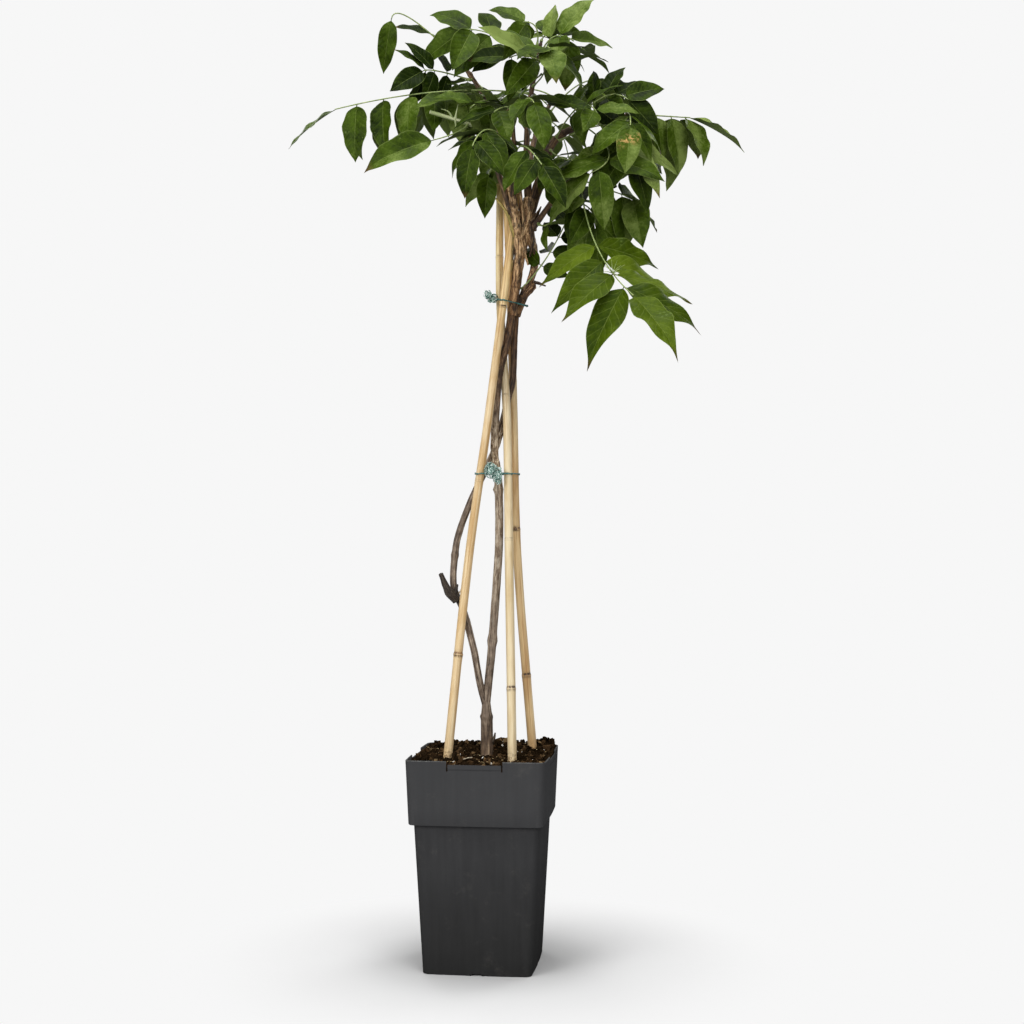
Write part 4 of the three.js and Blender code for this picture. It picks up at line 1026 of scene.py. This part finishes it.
def circles_at(tie):
    """Circles that hold each cane and stem over the height of a band, in metres"""
    height, high = tie["height"], TAPE["high"]
    round_things = [(Path(entry["path"]), cane_radius_at) for entry in CANES.values()]
    for name, path in LIMB_PATHS.items():
        if path.at(0)[2] < (height - high) * MM and path.at(1)[2] > (height + high) * MM:
            round_things.append((path, lambda t, name=name: limb_radius_at(name, t)))
    half_high = high / 2 + abs(tie["slope"]) * TAPE["half_span"]
    circles = []
    for path, radius_at in round_things:
        t = path.step_at_height(height * MM)
        rise = path.tangent(t)[2]
        radius = radius_at(t) / rise + half_high * sqrt(1 - rise ** 2) / rise
        circles.append((path.at(t)[:2], radius * MM))
    return circles


def tape_loop(circles, angle, lift):
    outward = np.array((cos(angle), sin(angle)))
    centre, radius = max(circles, key=lambda circle: circle[0] @ outward + circle[1])
    return centre + outward * (radius + lift * MM)


def add_tape(shape, tie):
    """The band: a thin strip that wrinkles as it runs round, closed like a flat tube"""
    circles = circles_at(tie)
    middle = np.mean([centre[0] for centre, _ in circles])
    section = [(0.0, up) for up in (-1.0, -0.4, 0.3, 1.0)] + [(1.0, up) for up in (1.0, 0.4, -0.3, -1.0)]
    rows = []
    for k in range(TAPE["points"]):
        angle = k * 2 * pi / TAPE["points"]
        narrow = 0.46 + 0.14 * sin(angle * 9 + 0.8) + 0.07 * sin(angle * 31)
        sag = 0.4 * sin(angle * 5 + 2)
        row = []
        for out, up in section:
            wrinkle = 0.35 * sin(angle * 23 + up * 4) + 0.25 * sin(angle * 41 + 1.3)
            x, y = tape_loop(circles, angle, TAPE["clear"] + (TAPE["thick"] + wrinkle * 0.5) * out)
            height = tie["height"] + sag + up * narrow * TAPE["high"] / 2
            row.append((x, y, tie["slope"] * (x - middle) + height * MM))
        rows.append(row)
    shape.grid(np.array([*rows, rows[0]]), taut=1.0)


def add_wad(shape, centre, sizes, seed):
    """The core of a knot of film: a ball pushed in and out by folded noise"""
    rows, columns = 30, 36
    points = np.empty((rows, columns, 3))
    for i in range(rows):
        tilt = pi * i / (rows - 1)
        for j in range(columns):
            turn = 2 * pi * j / columns
            way = np.array((sin(tilt) * cos(turn), sin(tilt) * sin(turn), cos(tilt)))
            folds = 1 - 2.1 * abs(rough(way, 520, seed)) - 0.9 * abs(rough(way, 210, seed + 5))
            points[i, j] = seen(*centre) + way * np.array(sizes) * MM * (0.42 + 0.30 * folds)
    shape.grid(points[:, ::-1])


def add_ribbon(shape, rng, centre, sizes):
    """A loop of film that stands off a knot"""
    turns = np.linspace(0, rng.uniform(2.4, 4.6), 7)
    tilt, phase = rng.uniform(-1.3, 1.3), rng.uniform(0, 2 * pi)
    points = []
    for turn in turns:
        a, out = turn + phase, rng.uniform(0.55, 1.08)
        x, z = out * cos(a), out * sin(a)
        points.append((centre[0] + sizes[0] * (x * cos(tilt) - 0.3 * z * sin(tilt)),
                       centre[1] + sizes[1] * (0.9 * x * sin(tilt) - 0.35),
                       centre[2] + sizes[2] * z))
    path = Path(points)
    width, twist = rng.uniform(0.9, 2.0) * MM, rng.uniform(-2.5, 2.5)
    normal, rings = np.array((0.3, 0.8, 0.5)), []
    for t in np.linspace(0, 1, 25):
        tangent = path.tangent(t)
        normal = unit(normal - tangent * normal.dot(tangent))
        flat = normal * cos(twist * t) + np.cross(tangent, normal) * sin(twist * t)
        thin = np.cross(tangent, flat) * 0.11 * MM
        wide = flat * width * (0.25 + 0.75 * sin(pi * t) ** 0.5) / 2
        rings.append([path.at(t) + a * wide + b * thin for a, b in ((1, 1), (-1, 1), (-1, -1), (1, -1))])
    shape.tube(np.array(rings))


def make_tie(name, material):
    tie = TIES[name]
    shape = Shape(["taut"])
    add_tape(shape, tie)
    rng = np.random.default_rng(len(name) + tie["height"])
    for centre, sizes, seed in tie["wads"]:
        add_wad(shape, centre, sizes, seed)
        for _ in range(RIBBONS):
            add_ribbon(shape, rng, centre, sizes)
    place_piece(shape.build(name + "_tape", [material]), "tie_tape", name)


# Fronds

# A row for each frond: its branch and the place on it, the middle and end of its stalk, its pairs of
# leaflets, their length, their width as a share of it and the bare share of the stalk, then in degrees
# how far the frond faces the viewer and how far its leaflets and its end leaflet droop
FROND_COLUMNS = ("on", "at", "via", "tip", "pairs", "leaf", "wide", "bare", "face", "droop", "end_droop")
FRONDS = (
    ("branch_c", 0.6, (-60, -8, 1143), (-193, -30, 1115), 4, 76, 0.44, 0.52, 10, 56, 14),
    ("young_shoot", 0.66, (-38, -42, 1081), (-64, -50, 1071), 0, 86, 0.42, 0.36, 72, 20, 0),
    ("branch_b", 1, (-96, 12, 1244), (-122, 5, 1243), 0, 64, 0.34, 0.36, 60, 20, 5),
    ("branch_c", 0.75, (21, 10, 1217), (-25, 0, 1227), 3, 72, 0.45, 0.36, 60, 10, 5),
    ("branch_c", 0.65, (79, -50, 1163), (62, -75, 1171), 2, 80, 0.38, 0.36, 60, 5, -25),
    ("branch_c", 1, (81, 4, 1221), (93, 8, 1230), 3, 44, 0.45, 0.36, 40, 10, 30),
    ("branch_c", 0.92, (93, -22, 1212), (117, -32, 1203), 3, 66, 0.5, 0.36, 60, 15, 35),
    ("branch_c", 0.8, (79, -50, 1189), (85, -90, 1176), 3, 62, 0.5, 0.36, 30, 30, 50),
    ("branch_d", 0.66, (155, -38, 1129), (186, -54, 1122), 4, 56, 0.55, 0.36, 70, 10, 10),
    ("branch_d", 0.9, (185, -60, 1104), (185, -110, 1077), 3, 62, 0.45, 0.36, 40, 40, 30),
    ("branch_d", 1, (237, 0, 1113), (272, 5, 1112), 3, 76, 0.5, 0.36, 15, 60, 62),
    ("branch_d", 0.9, (221, 42, 1108), (253, 60, 1098), 3, 74, 0.5, 0.36, 45, 55, 55),
    ("branch_d", 0.8, (169, -50, 1077), (189, -80, 1045), 3, 76, 0.45, 0.36, 10, 35, 20),
    ("branch_d", 0.72, (160, -80, 1049), (137, -104, 1019), 3, 80, 0.4, 0.36, 50, 15, 20),
    ("branch_g", 0.9, (169, -50, 1004), (196, -60, 994), 3, 68, 0.5, 0.36, 60, 30, 60),
    ("branch_g", 0.6, (130, -58, 986), (144, -66, 958), 3, 58, 0.45, 0.36, 60, 10, 20),
    ("knob", 0.55, (84, -20, 927), (113, -10, 985), 4, 50, 0.45, 0.36, 50, 20, 10),
    ("branch_g", 0.3, (86, -44, 966), (100, -66, 990), 2, 46, 0.45, 0.36, 50, 20, 10),
    ("branch_g", 0.93, (142, -118, 925), (183, -195, 853), 4, 106, 0.36, 0.5, 30, 12, 5),
    ("branch_a", 0.7, (21, -60, 1069), (9, -100, 1062), 3, 60, 0.45, 0.36, 40, 20, 20),
    ("branch_a", 0.5, (12, 10, 1046), (6, 0, 1036), 3, 54, 0.45, 0.36, 30, 50, 30),
    ("branch_f", 1, (53, -108, 1108), (64, -130, 1100), 3, 58, 0.45, 0.36, 30, 45, 60),
    ("branch_b", 0.76, (-18, 0, 1143), (-40, -20, 1132), 3, 56, 0.45, 0.36, 50, 30, 30),
    ("branch_b", 0.88, (-58, 18, 1176), (-79, 0, 1173), 3, 54, 0.45, 0.36, 80, 0, 10),
    ("branch_e", 1, (48, 190, 1193), (-9, 230, 1174), 4, 66, 0.45, 0.36, -10, 30, 30),
    ("branch_e", 0.85, (148, 190, 1207), (200, 230, 1196), 4, 66, 0.45, 0.36, -10, 30, 30),
    ("branch_e", 0.75, (105, 200, 1138), (121, 240, 1096), 3, 66, 0.45, 0.36, -10, 30, 30),
    ("branch_b", 0.7, (-21, 110, 1187), (-79, 160, 1176), 4, 64, 0.45, 0.36, -10, 35, 30),
    ("branch_d", 0.7, (184, 80, 1116), (215, 130, 1098), 4, 64, 0.45, 0.36, -10, 30, 30),
    ("branch_f", 0.7, (8, -120, 1069), (-12, -150, 1042), 3, 60, 0.45, 0.36, 20, 30, 20),
    ("branch_c", 0.9, (102, 80, 1226), (124, 130, 1234), 3, 62, 0.45, 0.36, -10, 25, 20),
    ("branch_f", 0.6, (52, -130, 1046), (73, -168, 1016), 3, 58, 0.45, 0.36, 30, 25, 20),
    ("branch_d", 0.35, (98, -45, 1050), (113, -80, 1039), 3, 58, 0.45, 0.36, 60, 15, 20),
    ("branch_c", 0.4, (37, -55, 1111), (14, -85, 1099), 3, 58, 0.45, 0.36, 60, 15, 20),
    ("branch_d", 0.5, (124, -55, 1113), (146, -80, 1097), 3, 56, 0.45, 0.36, 50, 20, 20),
    ("branch_e", 0.5, (21, 66, 1086), (-7, 84, 1074), 3, 60, 0.45, 0.36, 30, 30, 20),
    ("branch_b", 0.55, (8, -10, 1128), (-17, -45, 1113), 3, 58, 0.45, 0.36, 60, 20, 20),
    ("branch_c", 0.55, (66, -60, 1126), (82, -95, 1105), 3, 58, 0.45, 0.36, 50, 20, 20),
    ("branch_c", 0.96, (68, -14, 1226), (51, -24, 1230), 2, 62, 0.45, 0.36, 60, 15, 20),
    ("branch_c", 0.85, (50, -22, 1188), (33, -36, 1180), 2, 62, 0.45, 0.36, 60, 15, 20),
    ("branch_d", 0.5, (160, -50, 1090), (190, -70, 1062), 1, 92, 0.26, 0.36, 50, 20, 0),
    ("branch_b", 0.95, (-46, 62, 1218), (-71, 56, 1236), 0, 50, 0.4, 0.36, 35, 20, 5),
)
BRIGHT_FROND = 18
THREADS_AT = 0.76
SCORCHED_FROND = 9
# Names and colours of the two looks of leaves: three tones, veins and underside, and how far the veins show
LEAF_COLOURS = (
    ("leaf", (0.007, 0.015, 0.0003), (0.043, 0.075, 0.0035), (0.170, 0.225, 0.055),
     (0.20, 0.26, 0.065), (0.10, 0.14, 0.034), 0.09),
    ("young_leaf", (0.020, 0.038, 0.0005), (0.046, 0.075, 0.001), (0.096, 0.140, 0.008),
     (0.17, 0.22, 0.045), (0.08, 0.12, 0.02), 0.3),
)
# How light the leaflets of some fronds are, from 0 for the darkest, and then the end leaflet if it differs
MOODS = {
    0: (0.38,), 1: (0.42,), 2: (0.42,), 3: (0.34,), 4: (0.38, 1.0), 5: (0.5,), 6: (0.48,), 7: (0.45,),
    8: (0.08,), 9: (0.5,), 10: (0.62,), 11: (0.52,), 12: (0.42,), 13: (0.5,), 14: (0.55, 0.6), 15: (0.42,),
    18: (0.5,), 20: (0.5,), 22: (0.6,), 23: (0.08,), 31: (0.2,), 35: (0.5,), 36: (0.55,), 40: (0.9,),
    41: (0.05,),
}

# Outline of a blade from base to tip: share of its length, and of its half width
OUTLINE = ((0, 0), (0.03, 0.30), (0.12, 0.78), (0.30, 1.04), (0.50, 1.0), (0.70, 0.77), (0.86, 0.40),
           (0.94, 0.15), (1, 0))
LONG_OUTLINE = ((0, 0), (0.04, 0.34), (0.14, 0.86), (0.30, 1.12), (0.48, 1.05), (0.64, 0.79), (0.78, 0.42),
                (0.89, 0.14), (1, 0))
# Places across a blade, from one edge to the other
COLUMNS = np.array((-1, -0.86, -0.62, -0.34, -0.1, 0, 0.1, 0.34, 0.62, 0.86, 1))


def stalk_curve(frond):
    """The leaf stalk's curve as the solid has it, and the place on the branch that it grows from"""
    path = LIMB_PATHS[frond["on"]]
    seat, along = path.at(frond["at"]), path.tangent(frond["at"])
    via, tip = seen(*frond["via"]), seen(*frond["tip"])
    leaving = unit(2 * via - seat / 2 - tip / 2 - seat)
    sideways = via - seat
    sideways = unit(sideways - along * sideways.dot(along))
    outward = along if frond["at"] == 1 else sideways
    surface = 0 if frond["at"] == 1 else limb_radius_at(frond["on"], frond["at"])
    tilt = sqrt(max(0.0, 1 - leaving.dot(outward) ** 2))
    start = seat + outward * (surface + SEAT_GAP + STALK_HALF[0] * sqrt(2) * tilt) * MM
    return Arc(start, 2 * via - start / 2 - tip / 2, tip), seat


def frond_axes(frond, curve, t):
    tangent = curve.tangent(t)
    face = radians(frond["face"])
    upper = seen(0, -sin(face), cos(face))
    upper = unit(upper - tangent * upper.dot(tangent))
    return tangent, upper, np.cross(upper, tangent)


def pair_share(frond, pair):
    return pair / (frond["pairs"] - 1) if frond["pairs"] > 1 else 1


def pair_place(frond, pair):
    return lerp(frond["bare"], 0.9, pair_share(frond, pair))


def leaflet_plan(frond, index):
    """Where each leaflet leaves the stalk, how it points and how long it is"""
    stream = number_stream(101 + index * 977)

    def spread(amount):
        return (next(stream) * 2 - 1) * amount

    plan = []
    for pair in range(frond["pairs"]):
        share = pair_share(frond, pair)
        for hand in (-1, 1):
            plan.append({
                "hand": hand,
                "at": pair_place(frond, pair),
                "swing": lerp(78, 54, share) + spread(7),
                "droop": frond["droop"] + spread(10),
                "twist": spread(16),
                "length": frond["leaf"] * lerp(0.84, 1, min(1, share * 2)) * (1 + spread(0.08)),
            })
    plan.append({
        "hand": 0, "at": 1, "swing": 0, "droop": frond["end_droop"] + spread(5), "twist": spread(12),
        "length": frond["leaf"] * (1.08 + spread(0.05)),
    })
    return plan


def leaflet_axes(frond, curve, leaflet, bend):
    """Direction, upper side and left side of one leaflet"""
    tangent, upper, side = frond_axes(frond, curve, leaflet["at"])
    swing = radians(leaflet["swing"] + bend[1]) * leaflet["hand"]
    along = tangent * cos(swing) + side * sin(swing)
    turned = np.cross(upper, along)
    droop = radians(min(max(leaflet["droop"] + bend[0], -DROOP_MOST), DROOP_MOST))
    forward = along * cos(droop) - upper * sin(droop)
    lifted = upper * cos(droop) + along * sin(droop)
    twist = radians(leaflet["twist"])
    return (forward, lifted * cos(twist) + turned * sin(twist),
            turned * cos(twist) - lifted * sin(twist))


def corner_tree(node):
    """The corners of a CAD node, to look up"""
    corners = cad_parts[node].data.vertices
    tree = KDTree(len(corners))
    for corner in corners:
        tree.insert(corner.co, corner.index)
    tree.balance()
    return tree


def find_axes(frond, curve, leaflet, tree):
    """The leaflet's axes with the bend that its solid has, or None if it has no such leaflet"""
    root, length = curve.at(leaflet["at"]), leaflet["length"] * MM
    for bend in BENDS:
        forward, upper, side = leaflet_axes(frond, curve, leaflet, bend)
        tip = root + forward * length - upper * (ARCH * length - 0.4 * MM)
        if tree.find(tip)[2] < 0.1 * MM:
            return forward, upper, side
    return None


def outline_rows(points):
    """Smooth rows through the outline's points, three to each"""
    path = Path([(*point, 0) for point in points], as_seen=False)
    rows = np.array([path.at(t) for t in np.linspace(0, 1, (len(points) - 1) * 3 + 1)])
    return rows[:, 0], np.maximum(rows[:, 1], 0)


ROWS = outline_rows(OUTLINE)
LONG_ROWS = outline_rows(LONG_OUTLINE)


def add_leaflet(shape, rng, frond, root, axes, length, bright, tone, scorched):
    """One blade as a thin closed skin with a raised midrib below, on a short stalk of its own"""
    forward, upper, side = axes
    length *= MM
    shares, widths = LONG_ROWS if bright else ROWS
    bare = BLADE["stalk"] * MM / length
    s = np.concatenate(([0.0], bare + (1 - bare) * shares))
    widths = np.concatenate(([0.0], widths))
    half = np.maximum(widths * length * frond["wide"] / 2, BLADE["stalk_half"] * MM * (s < 0.5))
    across = half[:, None] * COLUMNS
    crease = BLADE["crease"] * MM
    fold = tan(FOLD) * (np.sqrt(across ** 2 + crease ** 2) - crease)
    waves = rng.uniform(1.6, 3.2)
    shift = rng.uniform(0, 6.28, 2)
    ripple = np.sin(2 * pi * waves * s[:, None] + np.where(COLUMNS < 0, shift[0], shift[1]))
    most = 0.030 if bright else 0.022
    ripple = ripple * COLUMNS ** 2 * most * length * np.sin(pi * s[:, None]) ** 0.6
    curl = rng.uniform(-0.02, 0.10) * length * np.clip((s - 0.7) / 0.3, 0, 1) ** 2
    roll = rng.uniform(-0.02, 0.05) * length * COLUMNS ** 2 * np.sin(pi * s[:, None])
    lift = fold + ripple - roll - (ARCH * length * s ** 2 + curl)[:, None]
    sway = rng.uniform(-0.05, 0.05) * length * s ** 2
    top = (root + forward * (s * length)[:, None, None] + upper * lift[..., None]
           + side * (across + sway[:, None])[..., None])
    rib = np.exp(-(across / (BLADE["rib_half"] * MM)) ** 2) * (1 - 0.75 * s[:, None])
    low = top - upper * ((BLADE["thin"] + BLADE["rib"] * rib) * MM)[..., None]
    low[:, 0], low[:, -1], low[-1] = top[:, 0], top[:, -1], top[-1]
    mapped = np.stack(np.broadcast_arrays(0.5 + COLUMNS / 2, s[:, None]), axis=-1)
    dry = float(rng.random() < (0.9 if bright else 0.16)) * rng.uniform(0.5, 1)
    # Painted shade: the tone changes from base to tip, and one half of the blade is darker than the other as
    # if the fold turned it from the light
    shade = tone + rng.uniform(-0.10, 0.34) * (s[:, None] - 0.5) + rng.uniform(-0.10, 0.10) * np.sign(COLUMNS)
    shade = np.clip(shade, 0, 1)
    scorch = scorched * np.exp(-((s[:, None] - 0.34 + 0.1 * COLUMNS) / 0.10) ** 2 - (COLUMNS / 0.9) ** 4)
    for turn, skin, under in ((1, top, 0.0), (-1, low, 1.0)):
        points, places, light, burnt = (values[::-1, ::turn] for values in (skin, mapped, shade, scorch))
        shape.grid(points, places, around=False, tone=light, scorch=burnt, under=under, dry=dry)


def add_stalk(shape, frond, curve, seat):
    """The round leaf stalk, swollen at its foot, which stands on the branch"""
    length = curve.length() / MM
    steps = np.concatenate((np.linspace(0, 0.12, 6), np.linspace(0.15, 1, 28)))
    pairs = [pair_place(frond, pair) for pair in range(frond["pairs"])]
    radii = [0.82 * lerp(*STALK_HALF, sqrt(t)) + 1.1 * bump_at(t * length, 0, 3.5)
             + 0.25 * sum(bump_at((t - pair) * length, 0, 1.5) for pair in pairs) for t in steps]
    rings = rings_along(curve, np.repeat(by_row(radii), 8, axis=1) * MM, steps)
    foot = seat + (rings[0] - rings[0].mean(0)) * 0.9
    shape.grid(np.concatenate(([foot], rings)), slot=1)
    shape.fan(rings[-1], slot=1)


def add_threads(shape, rng, root, axes):
    """Thin pale threads that stand off the stalk of a young leaf"""
    along, upper, side = axes
    steps = np.linspace(0, 1, 6)
    radii = np.repeat(by_row(np.linspace(0.5, 0.2, 6)), 4, axis=1) * MM
    for turn in np.linspace(0, 2 * pi, 14)[:-1]:
        way = unit(along * cos(turn) + side * sin(turn) + upper * rng.uniform(0.2, 0.9))
        end = root + way * rng.uniform(9, 19) * MM
        curve = Arc(root, (root + end) / 2 + upper * rng.uniform(1, 4) * MM, end)
        rings = rings_along(curve, radii, steps)
        shape.grid(rings, slot=1)
        shape.fan(rings[-1], slot=1)


def make_frond(index, row, materials):
    """One compound leaf; gives the number of its leaflets"""
    frond = dict(zip(FROND_COLUMNS, row))
    node = f"frond_{index + 1:02d}"
    bright = index == BRIGHT_FROND
    rng = np.random.default_rng(500 + index)
    curve, seat = stalk_curve(frond)
    tree = corner_tree(node)
    shape = Shape(["tone", "under", "dry", "scorch"])
    add_stalk(shape, frond, curve, seat)
    if bright:
        add_threads(shape, rng, curve.at(THREADS_AT), frond_axes(frond, curve, THREADS_AT))
    mood = MOODS.get(index, (rng.uniform(0.12, 0.5),))
    built = 0
    for leaflet in leaflet_plan(frond, index):
        axes = find_axes(frond, curve, leaflet, tree)
        if axes:
            light = mood[-1] if leaflet["hand"] == 0 else mood[0]
            tone = float(np.clip(light + rng.normal(0, 0.11), 0.0, 1.0))
            scorched = float(index == SCORCHED_FROND and leaflet["hand"] == 0)
            root, length = curve.at(leaflet["at"]), leaflet["length"]
            add_leaflet(shape, rng, frond, root, axes, length, bright, tone, scorched)
            built += 1
    piece = shape.build(f"compound_leaf_{index + 1:02d}", materials)
    place_piece(piece, "young_leaf" if bright else "leaf", node)
    return built


# Stage


def end_stage(name, look, lit=True):
    """One that isn't lit shows as white, but throws no light on the plant"""
    piece = bpy.context.object
    piece.name = name
    piece.data.materials.append(look.material)
    for ray in () if lit else ("diffuse", "glossy", "transmission", "shadow"):
        setattr(piece, "visible_" + ray, False)


def floor_look():
    """Pale, darkened round the pot by a painted shadow, and as bright as what lies behind from some way out
    """
    look = Look("floor")
    away = look.node("ShaderNodeVectorMath", {0: look.place()}, operation="LENGTH").outputs["Value"]
    # Painted shadow: the floor's colour grows darker close to the pot
    painted_shadow_pool = look.span(away, 0.05, 0.20, 1.0, 0.0)
    look.colour = look.mix(look.times(painted_shadow_pool, 0.24), (0.66, 0.66, 0.66), (0.0, 0.0, 0.0))
    look.finish(0.95, 0.0)
    shaders = {1: look.shader.outputs[0], 2: look.glow()}
    look.show(look.node("ShaderNodeMixShader", {0: look.span(away, 0.12, 0.42), **shaders}).outputs[0])
    return look


def make_floor():
    bpy.ops.mesh.primitive_circle_add(vertices=96, radius=FLOOR_RADIUS, fill_type="NGON")
    end_stage("floor", floor_look())
    white = Look("white")
    white.show(white.glow())
    bpy.ops.mesh.primitive_circle_add(vertices=96, radius=FAR_RADIUS, fill_type="NGON", location=(0, 0, -MM))
    end_stage("far_floor", white, lit=False)
    bpy.ops.mesh.primitive_uv_sphere_add(segments=48, ring_count=24, radius=DOME_RADIUS)
    end_stage("dome", white, lit=False)


def make_lamp(name, place, aim_up, size, power):
    lamp = bpy.data.lights.new(name, "AREA")
    lamp.shape = "DISK"
    lamp.size = size
    lamp.energy = power
    holder = bpy.data.objects.new(name, lamp)
    holder.location = place
    holder.rotation_euler = (Vector((0, 0, aim_up)) - Vector(place)).to_track_quat("-Z", "Y").to_euler()
    holder.visible_camera = False
    bpy.context.scene.collection.objects.link(holder)


def make_light():
    world = bpy.data.worlds.new("studio")
    world.use_nodes = True
    world.node_tree.nodes["Background"].inputs["Color"].default_value = (AMBIENT, AMBIENT, AMBIENT, 1)
    bpy.context.scene.world = world
    for name, lamp in LAMPS.items():
        make_lamp(name, *lamp)


def make_camera():
    camera = bpy.data.cameras.new("camera")
    camera.lens = LENS
    holder = bpy.data.objects.new("camera", camera)
    holder.location = seen(*CAMERA)
    holder.rotation_euler = (pi / 2, 0, VIEW_TURN)
    bpy.context.scene.collection.objects.link(holder)
    bpy.context.scene.camera = holder


make_camera()
make_light()
make_floor()
make_pot(pot_look())
make_soil(soil_look())
for number, (cane_name, cane_entry) in enumerate(CANES.items()):
    make_cane(cane_name, cane_entry, bamboo_look(cane_name + "_wood", *cane_entry["colours"]), 1.7 * number)
make_stems(bark_look())
make_young_shoot(green_wood_look())
tape = tape_look()
for tie_name in TIES:
    make_tie(tie_name, tape)
stalk = stalk_look()
leaf, bright_leaf = (leaf_look(*entry) for entry in LEAF_COLOURS)
leaflets = sum(make_frond(index, row, [bright_leaf if index == BRIGHT_FROND else leaf, stalk])
               for index, row in enumerate(FRONDS))
print("leaflets", leaflets)

bpy.context.scene.view_settings.view_transform = "Standard"
